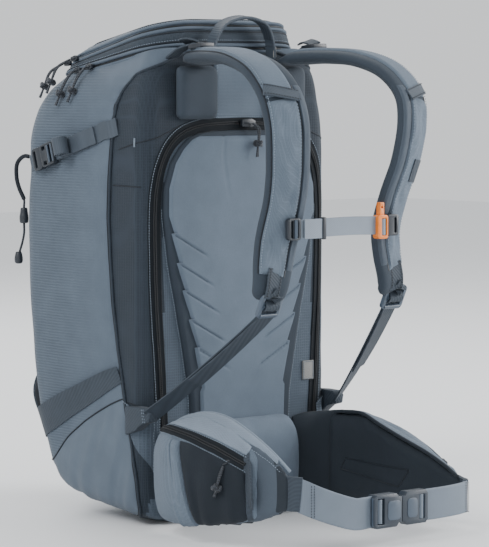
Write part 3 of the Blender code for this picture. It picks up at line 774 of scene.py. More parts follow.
def side_tab(side, sign, surface):
    """The triangular tab that the lower webbing is sewn to, with its folded hem."""
    rows = []
    for t in np.linspace(0, 1, 12):
        top = Vector((0.140, 0.034, 0.1380)).lerp(Vector((0.118, -0.0005, 0.120)), t)
        low = Vector((0.139, 0.026, 0.108)).lerp(Vector((0.120, 0.001, 0.052)), t)
        rows.append([at(sign * p.x, p.y, p.z) for p in (top.lerp(low, u) for u in np.linspace(0, 1, 10))])
    rows = np.array([on_surface(surface, row, 0.0016)[0] for row in rows])
    inner = np.array([on_surface(surface, row, -0.0004)[0] for row in rows])
    made = skin("lower_tab_" + side, np.concatenate([rows, inner[:, ::-1]], axis=1), STRIP, "bag",
                "dark_fabric")
    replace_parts(made, "lower_tab_" + side)
    for k, row in enumerate((rows[-1], rows[-3], rows[:, 0])):
        line, ways = on_surface(surface, row, 0.0020)
        stitches(f"tab_stitches_{side}_{k}", line, ways, THREAD_LIGHT, "bag", slot="dark_fabric")


def gusset_seams(side, sign, surface):
    """Seams across the gusset, and the bar tack by the compression strap."""
    seams = {
        "upper": ((0.086, 0, 0.4455), (0.114, 0, 0.4345), (0.131, 0.012, 0.4275), (0.139, 0.045, 0.4190)),
        "middle": ((0.140, 0.055, 0.379), (0.139, 0.030, 0.3785), (0.134, 0.010, 0.378)),
        "lower": ((0.140, 0.033, 0.138), (0.139, 0.020, 0.136), (0.130, 0.004, 0.132)),
    }
    for name, points in seams.items():
        line = on_surface(surface, placed(mirrored(points, sign), 6), 0.0001)[0]
        tube(f"gusset_seam_{name}_{side}", line, 0.0007, BINDING, "bag", "dark_fabric", 6)
    tack = placed([(sign * 0.1375, 0.0175, 0.432), (sign * 0.1375, 0.0175, 0.422)], 3)
    line = on_surface(surface, tack, 0.0004)[0]
    tube("bar_tack_" + side, line, 0.0010, THREAD_LIGHT, "bag", "dark_fabric", 6)


def rear_zip(surface):
    """The U-shaped rear zip: tape, coil and the stitching along both edges."""
    route = [(x, -0.002, z) for x, z in ZIP_LINE]
    route += [(-x, y, z) for x, y, z in reversed(route[:-1])]
    line = evenly(placed(route, 6), 0.005)
    tape = laid_band("rear_zip_tape", surface, line, TAPE_WIDTH, TAPE, "bag", "dark_fabric", 0.0008)
    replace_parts(tape, "back_zip_tape")
    spots, ways = on_surface(surface, line, 0.0014)
    zip_coil("rear_zip_coil", spots, ways, "bag")
    for k, reach in enumerate((-0.0072, 0.0072)):
        edge, ways = on_surface(surface, shifted(spots, ways, reach), 0.0011)
        thread = THREAD_LIGHT if k else THREAD_DARK
        stitches(f"rear_zip_stitches_{k}", edge, ways, thread, "bag", slot="dark_fabric")


# ---------------------------------------------------------------- lid


# Rings of the lid and its flap: rise at the back, rise at the front, half width, y back, y front, radius
LID_ROWS = ((0.0006, 0.0006, 0.110, 0.010, 0.205, 0.048), (0.0130, 0.0065, 0.1085, 0.0105, 0.204, 0.048),
            (0.0255, 0.0125, 0.104, 0.0125, 0.200, 0.048))
FLAP_ROWS = ((0.0268, 0.0138, 0.104, 0.0125, 0.200, 0.048), (0.0300, 0.0225, 0.101, 0.0135, 0.193, 0.046),
             (0.0335, 0.0300, 0.088, 0.0210, 0.176, 0.043), (0.0365, 0.0355, 0.062, 0.0400, 0.150, 0.032),
             (0.0385, 0.0385, 0.030, 0.0650, 0.120, 0.020), (0.0388, 0.0390, 0.004, 0.0900, 0.096, 0.002))
RIM_Y, RIM_Z = (0.010, 0.205), (0.532, 0.496)
ROUND = 168


def rim_ring(back_rise, front_rise, half, back, front, radius, stand=0.0):
    """A closed ring parallel to the rim plane, or tilted from it by its two rises."""
    half, back, front, radius = half + stand, back - stand, front + stand, radius + stand
    outline = half_ring(half, back, front, radius, radius)
    outline = np.vstack([outline, outline[-2:0:-1] * (-1, 1), outline[:1]])
    outline = evenly(np.column_stack([outline, np.zeros(len(outline))]), 0.003)
    reach = np.linspace(0, len(outline) - 1, ROUND + 1)[:-1]
    x, y = (np.interp(reach, range(len(outline)), outline[:, k]) for k in (0, 1))
    share = (y - RIM_Y[0]) / (RIM_Y[1] - RIM_Y[0])
    z = RIM_Z[0] + back_rise + (RIM_Z[1] + front_rise - RIM_Z[0] - back_rise) * share
    return np.column_stack([x, y + BACK, z])


def lid_parts():
    """The lid: a shallow tray with a mesh band, its domed flap, and the zips between them."""
    swell = 0.0016 * np.sin(np.linspace(0, math.pi, 9))
    wall = [rim_ring(*row, stand=s) for row, s in zip(smooth(LID_ROWS, 4), swell)]
    inner = [rim_ring(*row, stand=-LINING) for row in (LID_ROWS[2], LID_ROWS[1])]
    floor = rim_ring(0.004, 0.004, *LID_ROWS[0][2:], stand=-LINING)
    tray = skin("lid_tray", wall + inner + [floor], MESH, "lid", "slate_fabric")
    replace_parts(tray, "lid_shell")
    tray.data.materials.append(LINER)
    for face in tray.data.polygons:
        if len(face.vertices) > 4:
            face.material_index = 1
    rows = smooth(FLAP_ROWS, 7)
    dome = np.array([rim_ring(*row) for row in rows])
    points = dome.reshape(-1, 3)
    faces = strip_faces(*dome.shape[:2], True) + [tuple(range((len(rows) - 1) * ROUND, len(rows) * ROUND))]
    made = add("lid_dome", points, faces, [LID, LINER], None, "slate_fabric")
    outward(made)
    normals = np.array([v.normal for v in made.data.vertices])
    fold = wobble(points, 22, 0.0010, 5) + wobble(points, 60, 0.0004, 9)
    fold *= np.clip((np.arange(len(points)) // ROUND) / 5, 0, 1)
    made.data.vertices.foreach_set("co", (points + normals * fold[:, None]).astype(np.float32).ravel())
    lining = made.modifiers.new("lining", "SOLIDIFY")
    lining.thickness = LINING
    lining.offset = -1
    lining.material_offset = 1
    apply_modifiers(made)
    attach(made, "lid_flap")
    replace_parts(made, "lid_flap")
    lid_zip_lines()


def short_of_hinge(ring):
    """A rim ring opened where the lid is hinged, along its front edge."""
    kept = ring[:, 1] < ring[:, 1].max() - 0.0012
    start = next(i for i in range(len(ring)) if kept[i] and not kept[i - 1])
    rolled = np.roll(ring, -start, axis=0)
    return rolled[np.roll(kept, -start)]


def rim_tube(name, row, radius, finish, body, hinged=False):
    """Piping, a seam or a coil round the rim; a hinged one stops short of the lid's hinge."""
    slot, sides = ("slate_fabric", 8) if finish is LID else ("dark_fabric", 6)
    ring = rim_ring(*row)
    if hinged:
        tube(name, short_of_hinge(ring), radius, finish, body, slot, sides)
        return
    rings = tube_rings(np.vstack([ring, ring[:2]]), radius, sides)[:-1]
    rings[-1] = rings[0]
    skin(name, rings, finish, body, slot, caps=False)


def lid_zip_lines():
    """Cords of piping that run with each lid zip, the dark coil between them, and their stitching."""
    rim_tube("rim_piping", (-0.0035, -0.0035, 0.1112, 0.0095, 0.206, 0.048), 0.0020, LID, "bag")
    rim_tube("rim_seam", (-0.0075, -0.0075, 0.1128, 0.0088, 0.2075, 0.048), 0.0009, BINDING, "bag")
    rim_tube("rim_coil", (-0.0004, -0.0004, 0.1104, 0.0096, 0.2054, 0.048), 0.0010, COIL, "bag")
    rim_tube("lid_piping", (0.0034, 0.0032, 0.1108, 0.0092, 0.2058, 0.048), 0.0020, LID, "lid", hinged=True)
    rim_tube("lid_seam", (0.0068, 0.0055, 0.1108, 0.0092, 0.2058, 0.048), 0.0008, BINDING, "lid", hinged=True)
    outline = [(x, 0) for x in np.linspace(-0.062, 0.062, 12)]
    outline += [(x, 0.0013) for x in np.linspace(0.062, -0.062, 12)]
    fold = []
    for t in np.linspace(0, 1, 12):
        y, z = 0.2072 + 0.0008 * math.sin(t * math.pi), 0.4900 + 0.0130 * t
        fold.append([at(x, y - depth, z) for x, depth in outline])
    hinge = skin("lid_hinge_fold", fold, LID, None, "slate_fabric")
    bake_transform(hinge)
    rim_tube("tray_seam", (0.0180, 0.0088, 0.1078, 0.0104, 0.2030, 0.048), 0.0009, BINDING, "lid")
    rim_tube("tray_piping", (0.0222, 0.0105, 0.1062, 0.0112, 0.2020, 0.048), 0.0021, LID, "lid")
    rim_tube("tray_coil", (0.0256, 0.0128, 0.1046, 0.0120, 0.2006, 0.048), 0.0010, COIL, "lid")
    rim_tube("flap_piping", (0.0292, 0.0175, 0.1030, 0.0128, 0.1985, 0.047), 0.0018, LID, "lid_flap")
    rim_tube("flap_seam", (0.0335, 0.0290, 0.0905, 0.0195, 0.1785, 0.043), 0.0008, BINDING, "lid_flap")
    for name, row, body in (("lid", (0.0088, 0.0062, 0.1104, 0.0094, 0.2054, 0.048), "lid"),
                            ("flap", (0.0322, 0.0262, 0.0950, 0.0165, 0.1850, 0.044), "lid_flap")):
        ring = rim_ring(*row)
        out = unit((ring - ring.mean(0)) * (1, 1, 0.3))
        stitches(name + "_stitches", ring, out, THREAD_LIGHT, body, slot="slate_fabric")


# ---------------------------------------------------------------- padding


CLOTH_FRAMES = 20


def settled(made, voxel, cap, pressure=4.0):
    """Inflates a closed piece as cloth, and keeps each point within the cap of where it started."""
    remesh = made.modifiers.new("remesh", "REMESH")
    remesh.mode = "VOXEL"
    remesh.voxel_size = voxel
    apply_modifiers(made)
    start = np.array([v.co for v in made.data.vertices])
    cloth = made.modifiers.new("cloth", "CLOTH")
    cloth.settings.use_pressure = True
    cloth.settings.uniform_pressure_force = pressure
    cloth.settings.effector_weights.gravity = 0
    cloth.settings.quality = 4
    cloth.settings.tension_stiffness = 12
    cloth.settings.compression_stiffness = 12
    cloth.settings.bending_stiffness = 0.4
    cloth.point_cache.frame_start, cloth.point_cache.frame_end = 1, CLOTH_FRAMES
    scene = bpy.context.scene
    for step in range(1, CLOTH_FRAMES + 1):
        scene.frame_set(step)
    graph = bpy.context.evaluated_depsgraph_get()
    mesh = bpy.data.meshes.new_from_object(made.evaluated_get(graph))
    moved = np.array([v.co for v in mesh.vertices]) - start
    reach = np.linalg.norm(moved, axis=1, keepdims=True)
    kept = start + moved * np.minimum(1, cap / np.maximum(reach, 1e-9))
    made.modifiers.clear()
    made.data.vertices.foreach_set("co", kept.astype(np.float32).ravel())
    scene.frame_set(1)
    finer = made.modifiers.new("finer", "SUBSURF")
    finer.levels = finer.render_levels = 1
    apply_modifiers(made)
    made.data.shade_smooth()


def pillow(name, outline, depth, face_y, finish, edge, rows=22, columns=26):
    """A padded block on the back: (left, right, z) rows from the top down, standing out by depth."""
    table = np.array(outline)
    dense = smooth(np.column_stack([table, np.zeros(len(table))]), 6)
    rings = []
    for left, right, z, _ in evenly(dense, abs(table[0][2] - table[-1][2]) / rows):
        end = min(abs(z - table[0][2]), abs(z - table[-1][2]))
        lift = math.sqrt(max(0.02, 1 - (1 - min(1, end / edge)) ** 2))
        u = np.sin(np.linspace(-1, 1, columns) * math.pi / 2)
        x = (left + right) / 2 + u * (right - left) / 2
        gap = (1 - np.abs(u)) * (right - left) / 2
        y = -depth * lift * np.sqrt(np.clip(1 - (1 - np.clip(gap / edge, 0, 1)) ** 2, 0, 1))
        front = [at(a, face_y + b - 0.0006, z) for a, b in zip(x, y)]
        back = [at(a, face_y + 0.0004, z) for a in (x[-1], (x[0] + x[-1]) / 2, x[0])]
        rings.append(front + back)
    return skin(name, rings, finish, "bag")


# ---------------------------------------------------------------- back panel


# The face foam's stepped edge, each step with its groove: z, half width
CHEVRONS = ((0.326, 0.104), (0.293, 0.0965), (0.262, 0.0885), (0.229, 0.0795), (0.197, 0.0710))
CHEVRON_SLOPE = 0.53
CHEVRON_LENGTH = 0.050
# The base foam's outline: z, half width
FOAM_EDGE = ((0.439, 0.040), (0.4365, 0.062), (0.430, 0.078), (0.420, 0.090), (0.404, 0.102), (0.376, 0.1115),
             (0.347, 0.1120), (0.294, 0.1050), (0.240, 0.0930), (0.195, 0.0840), (0.138, 0.0740),
             (0.040, 0.0700))


def foam_half(z):
    """Half the base foam's width at a height."""
    return np.interp(z, *zip(*FOAM_EDGE[::-1]))


def foam_sheet(name, edges, height, finish):
    """A moulded foam layer on the back: rows of (z, half width), and height(x, z, gap) off the bag."""
    u = np.sin(np.linspace(-1, 1, 121) * math.pi / 2)
    rings = []
    for z, half in edges:
        x = u * half
        gap = (1 - np.abs(u)) * half
        y = [-height(a, z, b) for a, b in zip(x, gap)]
        front = [at(a, min(b, -0.0004), z) for a, b in zip(x, y)]
        rings.append(front + [at(half, 0.0006, z), at(0, 0.0006, z), at(-half, 0.0006, z)])
    return skin(name, rings, finish, "bag", "ribbed_foam")


def rounded(gap, radius):
    """How far a round edge has risen, 0 to 1, at a gap from its start."""
    return math.sqrt(max(0.0, 1 - (1 - min(1.0, gap / radius)) ** 2))


def base_height(_, height, gap):
    """The base foam's thickness."""
    return 0.0055 * rounded(gap, 0.005) * rounded(0.4395 - height, 0.006) + 0.0004


def face_height(x, height, gap):
    """The face foam's thickness, less its chevron grooves and the soft crease near its top."""
    top = 0.0092 * rounded(gap, 0.004) * rounded(0.4350 - height, 0.007)
    side = abs(x)
    for start, reach in CHEVRONS:
        line = start - 0.002 - CHEVRON_SLOPE * (reach - 0.003 - side)
        along = reach - 0.002 - side
        if 0 <= along <= CHEVRON_LENGTH:
            fade = min(1, along / 0.002, (CHEVRON_LENGTH - along) / 0.010 + 0.1)
            top -= 0.0024 * fade * math.exp(-(((height - line) / 0.0011) ** 2))
            below = line - height
            if 0 < below < 0.016:
                top += 0.0007 * fade * (1 - below / 0.016)
    crease = -0.020 - 0.010 * math.sin((height - 0.36) * 30)
    if height > 0.355:
        top -= 0.0008 * math.exp(-(((x - crease) / 0.0016) ** 2)) * min(1, (height - 0.355) / 0.02)
    return top + 0.0006 * noise.noise(Vector((x * 30, height * 30, 3)))


def face_edges():
    """Rows of the face foam, (z, half width): its top, a row of steps, and its straight lower end."""
    rows = []
    for height in [0.4345] + list(np.linspace(0.4335, 0.352, 40)) + [0.345]:
        rows.append((height, float(foam_half(height)) - 0.0035))
    for k, (height, half) in enumerate(CHEVRONS):
        low, low_half = CHEVRONS[k + 1] if k + 1 < len(CHEVRONS) else (0.150, 0.0640)
        rows += [(height + 0.0006, half - 0.0030), (height, half + 0.0012)]
        for t in np.linspace(0.08, 0.97, 20):
            width = half + 0.0012 + (low_half - 0.0030 - half - 0.0012) * t
            rows.append((height + (low - height) * t, width))
    for height in np.linspace(0.147, 0.034, 50):
        rows.append((height, 0.0640 - (0.147 - height) * 0.03))
    return rows


def back_foam():
    """Dark base foam, and the lighter face foam with stepped edges and chevron grooves."""
    z = np.concatenate([np.linspace(0.4390, 0.4300, 12), np.linspace(0.4280, 0.030, 150)])
    base = foam_sheet("foam_base", list(zip(z, foam_half(z))), base_height, FOAM_BASE)
    face = foam_sheet("foam_face", face_edges(), face_height, FOAM)
    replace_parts(face, "back_panel")
    for side, sign in SIDES:
        edge = [at(sign * (foam_half(h) + 0.0022), 0, h) for h in np.linspace(0.352, 0.045, 60)]
        line, ways = on_surface(bag_surface, np.array(edge), 0.0004)
        stitches("foam_stitches_" + side, line, ways, THREAD_LIGHT, "bag", slot="dark_fabric")


def upper_back():
    """The two yoke pads beside a ripstop patch, and the sewn seam above the zip."""
    for side, sign in SIDES:
        low, high = sorted((sign * 0.0955, sign * 0.036))
        rows = [(low, high, z) for z in (0.5125, 0.480, 0.4515)]
        pad = pillow("yoke_pad_" + side, rows, 0.0125, 0.001, PAD, 0.009)
        settled(pad, 0.004, 0.0035)
        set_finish(pad, "slate_fabric")
        line = placed([(sign * 0.0345, -0.002, 0.512), (sign * 0.0345, -0.003, 0.455)], 8)
        stitches("yoke_stitches_" + side, line, (0, -1, 0), THREAD_LIGHT, "bag", slot="slate_fabric")
    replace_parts(bpy.data.objects["yoke_pad_right"], "yoke_pad")
    rows = ((-0.0365, 0.0365, 0.5135), (-0.0365, 0.0365, 0.4530))
    patch = pillow("yoke_patch", rows, 0.0030, 0.001, COVER, 0.003, 10, 20)
    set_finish(patch, "slate_fabric")
    rows = [(-half, half, z) for half, z in ((0.062, 0.115), (0.078, 0.085), (0.077, 0.030), (0.060, 0.0155))]
    lumbar = pillow("lumbar_cushion", rows, 0.019, -0.003, FOAM, 0.010)
    settled(lumbar, 0.005, 0.004)
    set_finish(lumbar, "ribbed_foam")
    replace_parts(lumbar, "lumbar_pad")


def back_label():
    """A blank woven label, stitched round its edge."""
    low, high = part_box("label")
    middle = (low + high) / 2
    size = high - low
    made = soft_block("back_label", Vector((middle.x, BACK - 0.0012, middle.z)), (size.x, 0.0018, size.z),
                      LABEL, "bag", bevel=0.0006, slot="dark_fabric")
    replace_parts(made, "label")
    x, z, y = size.x / 2 - 0.0012, size.z / 2 - 0.0012, BACK - 0.0022
    corners = [(-x, -z), (x, -z), (x, z), (-x, z), (-x, -z)]
    line = evenly([(middle.x + a, y, middle.z + b) for a, b in corners], 0.002)
    stitches("label_stitches", line, (0, -1, 0), THREAD_LIGHT, "bag", 0.0022, 0.0014, slot="dark_fabric")


# ---------------------------------------------------------------- moulded hardware


def prism(label, points, half):
    """An (x, z) outline as a solid, from -half to half in y."""
    shape = bmesh.new()
    front = [shape.verts.new((x, -half, z)) for x, z in points]
    back = [shape.verts.new((x, half, z)) for x, z in points]
    shape.faces.new(front)
    shape.faces.new(back[::-1])
    for i in range(len(points)):
        j = (i + 1) % len(points)
        shape.faces.new((front[j], front[i], back[i], back[j]))
    bmesh.ops.recalc_face_normals(shape, faces=shape.faces)
    mesh = bpy.data.meshes.new(label)
    shape.to_mesh(mesh)
    shape.free()
    item = bpy.data.objects.new(label, mesh)
    bpy.context.scene.collection.objects.link(item)
    return item


def moulded(name, outline, depth, centre, finish, body, turn=None, windows=(), bevel=0.0008,
            slot="black_plastic"):
    """An (x, z) outline extruded through depth in y, with windows cut through, and rounded edges."""
    made = prism(name, outline, depth / 2)
    made.data.materials.append(finish)
    for window in windows:
        cutter = prism(name + "_window", window, depth)
        cut = made.modifiers.new("window", "BOOLEAN")
        cut.object = cutter
        apply_modifiers(made)
        bpy.data.objects.remove(cutter)
    rounding = made.modifiers.new("rounding", "BEVEL")
    rounding.width = bevel
    rounding.segments = 2
    rounding.limit_method = "ANGLE"
    apply_modifiers(made)
    turning = turn.to_4x4() if turn is not None else Matrix.Identity(4)
    made.data.transform(Matrix.Translation(centre) @ turning)
    made.data.shade_smooth()
    made.data.set_sharp_from_angle(angle=math.radians(35))
    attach(made, body)
    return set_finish(made, slot)


def rounded_box(width, height, radius, x=0.0, z=0.0, steps=3):
    """An (x, z) outline: a rectangle with round corners."""
    points = []
    for quarter, (sx, sz) in enumerate(((1, 1), (-1, 1), (-1, -1), (1, -1))):
        for k in range(steps + 1):
            angle = math.pi / 2 * (quarter + k / steps)
            points.append((x + sx * (width / 2 - radius) + radius * math.cos(angle),
                           z + sz * (height / 2 - radius) + radius * math.sin(angle)))
    return points


def centre_of(node):
    """The middle of a CAD node's box."""
    low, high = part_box(node)
    return (low + high) / 2


def zip_slider(node, turn, size=(0.0055, 0.011)):
    """A zip slider's body with its bridge, in place of its plain CAD block."""
    body = frame["nodes"][node]["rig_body"]
    centre = centre_of(node)
    width, length = size
    outline = [(-width / 2, -length / 2), (width / 2, -length / 2), (width / 2 * 1.25, length * 0.2),
               (width * 0.35, length / 2), (-width * 0.35, length / 2), (-width / 2 * 1.25, length * 0.2)]
    plate = moulded(node + "_plate", outline, 0.0042, centre, BLACK, body, turn, bevel=0.0006)
    arch = ((0, -0.42), (-0.0038, -0.25), (-0.0045, 0), (-0.0036, 0.25), (0, 0.4))
    arch = smooth([(0, out, length * share) for out, share in arch], 4)
    arch = np.array([centre + turn @ Vector(point) for point in arch])
    bridge = tube(node + "_bridge", arch, 0.0008, BLACK, body, "black_plastic", 6)
    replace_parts(joined(node + "_body", [plate, bridge]), node)


# ---------------------------------------------------------------- cords


def knot(name, centre, along, size, body):
    """An overhand knot: a trefoil pulled tight."""
    turn = Vector(along).to_track_quat("Z", "Y").to_matrix()
    loop = []
    for k in range(49):
        a = 2 * math.pi * k / 48
        loop.append((math.sin(a) + 2 * math.sin(2 * a), math.cos(a) - 2 * math.cos(2 * a),
                     -math.sin(3 * a) * 1.3))
    ring = np.array([centre + turn @ (Vector(p) * size / 3) for p in loop])
    rings = tube_rings(ring, size * 0.42, 7)
    rings[-1] = rings[0]
    return skin(name, rings, CORD_BLACK, body, "cord", caps=False)


def cord_curve(name, line, diameter, body):
    """A cord as one open spline with a round bevel."""
    curve = bpy.data.curves.new(name, "CURVE")
    curve.dimensions = "3D"
    curve.bevel_depth = diameter / 2
    curve.bevel_resolution = 3
    curve.use_fill_caps = True
    spline = curve.splines.new("POLY")
    spline.points.add(len(line) - 1)
    for target, point in zip(spline.points, line):
        target.co = (*point, 1)
    curve.materials.append(CORD_BLACK)
    made = bpy.data.objects.new(name, curve)
    bpy.context.scene.collection.objects.link(made)
    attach(made, body)
    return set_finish(made, "cord")


KNOT_SHARE = 0.72  # how far along a zip pull its knot sits


def zip_pull(node, route, side):
    """A doubled cord through the slider's bridge, knotted, with two short tails; `side` parts its strands."""
    body = frame["nodes"][node]["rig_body"]
    line = placed(route, 6)
    count = len(line)
    t = np.linspace(0, 1, count)[:, None]
    spread = np.array(side, float) * 0.0026
    parting = np.sin(np.clip(t / KNOT_SHARE, 0, 1) * math.pi) ** 0.6 * (t < KNOT_SHARE)
    parting = parting + np.clip((t - 0.76) / 0.24, 0, 1) * 0.9
    first = cord_curve(node, line, CORD, body)
    first.name = node + "_cord"
    beside = line + spread * np.maximum(parting, 0.25)
    second = tube(node + "_strand", beside, CORD * 0.46, CORD_BLACK, body, "cord")
    place = int(count * KNOT_SHARE)
    way = line[place] - line[place - 1]
    tie = knot(node + "_knot", Vector(line[place] + spread * 0.3), way, 0.0046, body)
    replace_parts(first, node)


def cords():
    """Every cord pull, and the elastic loop with its cord lock at the front corner."""
    quarter = math.radians(90)
    for node, lean in (("lid_slider_rear", 0), ("lid_slider_front", 0),
                       ("flap_slider_rear", 0.009), ("flap_slider_front", 0.009)):
        x, y, z = centre_of(node) - Vector((0, BACK, 0))
        route = [(x - 0.0055, y + 0.002, z - 0.001), (x - 0.0120 - lean, y + 0.004, z - 0.010),
                 (x - 0.0185 - lean, y + 0.007, z - 0.024), (x - 0.0235 - lean, y + 0.010, z - 0.040)]
        zip_pull(node + "_pull", route, (0.15, 0.95, 0.2))
        zip_slider(node, Matrix.Rotation(-quarter, 3, "Z") @ Matrix.Rotation(math.radians(80), 3, "Y"))
    route = [(0.012, -0.0095, 0.4470), (0.0150, -0.0150, 0.441), (0.0150, -0.0160, 0.427),
             (0.0120, -0.0165, 0.409)]
    zip_pull("back_slider_pull", route, (0.95, 0, 0.1))
    zip_slider("back_slider", Matrix.Rotation(quarter, 3, "Y"), (0.008, 0.020))
    for side, sign in SIDES:
        node = "hip_slider_" + side
        centre = centre_of(node) - Vector((0, BACK, 0))
        route = [centre + Vector((sign * reach, shift, drop)) for reach, shift, drop in
                 ((0.0050, 0.000, -0.003), (0.0080, 0.001, -0.012), (0.0100, 0.004, -0.024),
                  (0.0105, 0.008, -0.036))]
        zip_pull(node + "_pull", route, (0.2, 0.95, 0))
        turn = Matrix.Rotation(sign * math.radians(70), 3, "Z") @ Matrix.Rotation(math.radians(65), 3, "Y")
        zip_slider(node, turn)
    front_elastic()


def front_elastic():
    """The elastic loop at the bag's front corner, its sleeve, cord lock and end knob."""
    route = [(-0.122, 0.2275, 0.406), (-0.126, 0.238, 0.407), (-0.129, 0.247, 0.398), (-0.129, 0.248, 0.382),
             (-0.128, 0.244, 0.369), (-0.126, 0.238, 0.357), (-0.126, 0.238, 0.348), (-0.126, 0.238, 0.338),
             (-0.126, 0.238, 0.328), (-0.126, 0.238, 0.318), (-0.127, 0.240, 0.307), (-0.128, 0.244, 0.296)]
    line = placed(route, 6)
    elastic = cord_curve("front_elastic_cord", line, ELASTIC, "bag")
    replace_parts(elastic, "front_elastic")
    barrel = ((0.0034, -0.0090), (0.0050, -0.0080), (0.0054, -0.002), (0.0046, 0.003), (0.0040, 0.0082),
              (0.0030, 0.0092))
    lock = turned("cord_lock_body", smooth(barrel, 3), centre_of("cord_lock"), "cord_lock")
    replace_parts(lock, "cord_lock")
    ball = ((0.0022, 0.0072), (0.0036, 0.0060), (0.0050, -0.001), (0.0044, -0.0058), (0.002, -0.0072))
    knob = turned("elastic_knob", smooth(ball, 3), centre_of("elastic_end_knob"), "bag")
    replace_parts(knob, "elastic_end_knob")
    sleeve = tube("front_elastic_sleeve", line[2:31], 0.0025, BINDING, "bag", "cord", 10)


def turned(name, profile, centre, body):
    """A turned piece: (radius, height) points round a vertical axis."""
    angles = np.arange(20) * 2 * math.pi / 20
    rings = [[centre + Vector((r * math.cos(a), r * math.sin(a), h)) for a in angles] for r, h in profile]
    return skin(name, rings, BLACK, body, "black_plastic")


# ---------------------------------------------------------------- shoulder straps


# The strap's centre line, as on the left: x, y from the back face, z, width
STRAP_LINE = (
    (0.066, -0.006, 0.5170, 0.050), (0.072, -0.030, 0.5215, 0.052), (0.081, -0.066, 0.5225, 0.052),
    (0.088, -0.108, 0.5190, 0.052), (0.093, -0.148, 0.5055, 0.052), (0.095, -0.175, 0.4810, 0.052),
    (0.092, -0.184, 0.4500, 0.052), (0.087, -0.180, 0.4100, 0.051), (0.080, -0.170, 0.3700, 0.050),
    (0.079, -0.161, 0.3350, 0.050), (0.083, -0.159, 0.3050, 0.047), (0.088, -0.160, 0.2770, 0.042),
    (0.090, -0.1555, 0.2600, 0.038),
)
STRAP_LEAN = {-1: 0.006, 1: -0.005}  # how far each strap's lower end swings outward
STRAP_TURN = math.radians(17)
CORE_HALF = 0.0070
BAND_LEVEL, COVER_END, TAG_LEVEL = 0.484, 0.283, 0.395
COVER_EDGES = (-0.47, 0.80)


class Strap:
    """A shoulder strap's centre line with its directions. u runs outward, from -1 to 1."""

    def __init__(self, sign):
        """Lays out the line of the strap on the side of the sign."""
        line = smooth([(sign * x, y, z) for x, y, z, _ in STRAP_LINE], 8)
        line[:, 0] += sign * STRAP_LEAN[sign] * np.clip((0.40 - line[:, 2]) / 0.08, 0, 1)
        widths = smooth([(w, 0, 0) for _, _, _, w in STRAP_LINE], 8)[:, 0]
        centre = np.array([at(*p) for p in line])
        side = np.array((math.cos(STRAP_TURN), sign * math.sin(STRAP_TURN), 0))
        along = tangents(centre)
        across = np.array([unit(side - way * side.dot(way)) for way in along])
        self.outer = np.cross(along, across)
        self.across = across * sign
        self.centre, self.half, self.along = centre, widths / 2, along
        self.level = line[:, 2]
        self.run = np.concatenate([[0], np.cumsum(np.linalg.norm(np.diff(centre, axis=0), axis=1))])

    def core(self, u):
        """Half the thickness of the padding at u."""
        return CORE_HALF * max(0.0, 1 - abs(u) ** 3.2) ** 0.42

    def point(self, i, u, lift=0.0, face=1):
        """A point at row i and place u, lifted off the outer face, or off the inner one with face -1."""
        rise = self.outer[i] * face * (self.core(u) + lift)
        return self.centre[i] + self.across[i] * u * self.half[i] + rise

    def between(self, row, u, lift=0.0):
        """A point at a fractional row."""
        i = min(int(row), len(self.centre) - 2)
        return self.point(i, u, lift) * (1 - row + i) + self.point(i + 1, u, lift) * (row - i)

    def strip(self, u, lift, first, last):
        """A line along the strap at u, lifted off its outer face."""
        return np.array([self.point(i, u, lift) for i in range(first, last)])

    def index(self, level):
        """The last row of the strap above a level on its hanging part."""
        return max(i for i in range(len(self.level)) if self.level[i] > level)


def strap_core(strap, side):
    """The padded core, which stands for the CAD strap."""
    rings = []
    u = np.sin(np.linspace(-1, 1, 21) * math.pi / 2)
    for i, middle in enumerate(strap.centre):
        end = rounded(strap.run[-1] - strap.run[i] + 0.0002, 0.010) * min(1, 0.45 + strap.run[i] / 0.03)
        half = strap.half[i] * (0.55 + 0.45 * end)
        ring = []
        for face, places in ((1, u), (-1, u[-2:0:-1])):
            ring += [middle + strap.across[i] * a * half + strap.outer[i] * face * strap.core(a) * end
                     for a in places]
        rings.append(ring)
    made = skin("strap_core_" + side, rings, RIM, "harness", "strap_cover")
    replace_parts(made, "shoulder_strap_" + side)


def strap_panel(name, strap, edges, first, last, finish, lift, puff, face=1, folds=0.0, columns=18):
    """A fabric panel on the strap's face between two u values, puffed out and gathered into folds."""
    rings = []
    t = np.linspace(0, 1, columns)
    u = edges[0] + (edges[1] - edges[0]) * t
    inset = np.minimum(1, np.minimum(t, 1 - t) / 0.12)
    for i in range(first, last):
        place = strap.run[i]
        end = rounded(min(place - strap.run[first], strap.run[last - 1] - place), 0.006)
        swell = np.sqrt(np.clip(1 - (1 - inset) ** 2, 0, 1)) * end
        top, bottom = [], []
        for a, s, b in zip(u, swell, t):
            fold = math.sin(place * 95 + b * 4.2) * math.exp(-((b - 0.62) / 0.22) ** 2)
            fold += 0.8 * math.sin(place * 61 - b * 6.0 + 1.3) * math.exp(-((b - 0.25) / 0.2) ** 2)
            rough = noise.noise(Vector((place * 55, b * 3.2, 7.0 + face)))
            top.append(strap.point(i, a, lift + s * (puff + folds * (0.6 * fold + rough)), face))
            bottom.append(strap.point(i, a, -0.0012, face))
        rings.append(top + bottom[::-1])
    skin(name, rings, finish, "harness", "strap_cover")


def strap_line_stitches(name, strap, u, lift, first, last, pitch=0.0030):
    line = evenly(strap.strip(u, lift, first, last), 0.003)
    nearest = [int(np.argmin(np.linalg.norm(strap.centre - p, axis=1))) for p in line]
    stitches(name, line, strap.outer[nearest], THREAD_LIGHT, "harness", pitch, pitch * 0.6,
             slot="strap_cover")


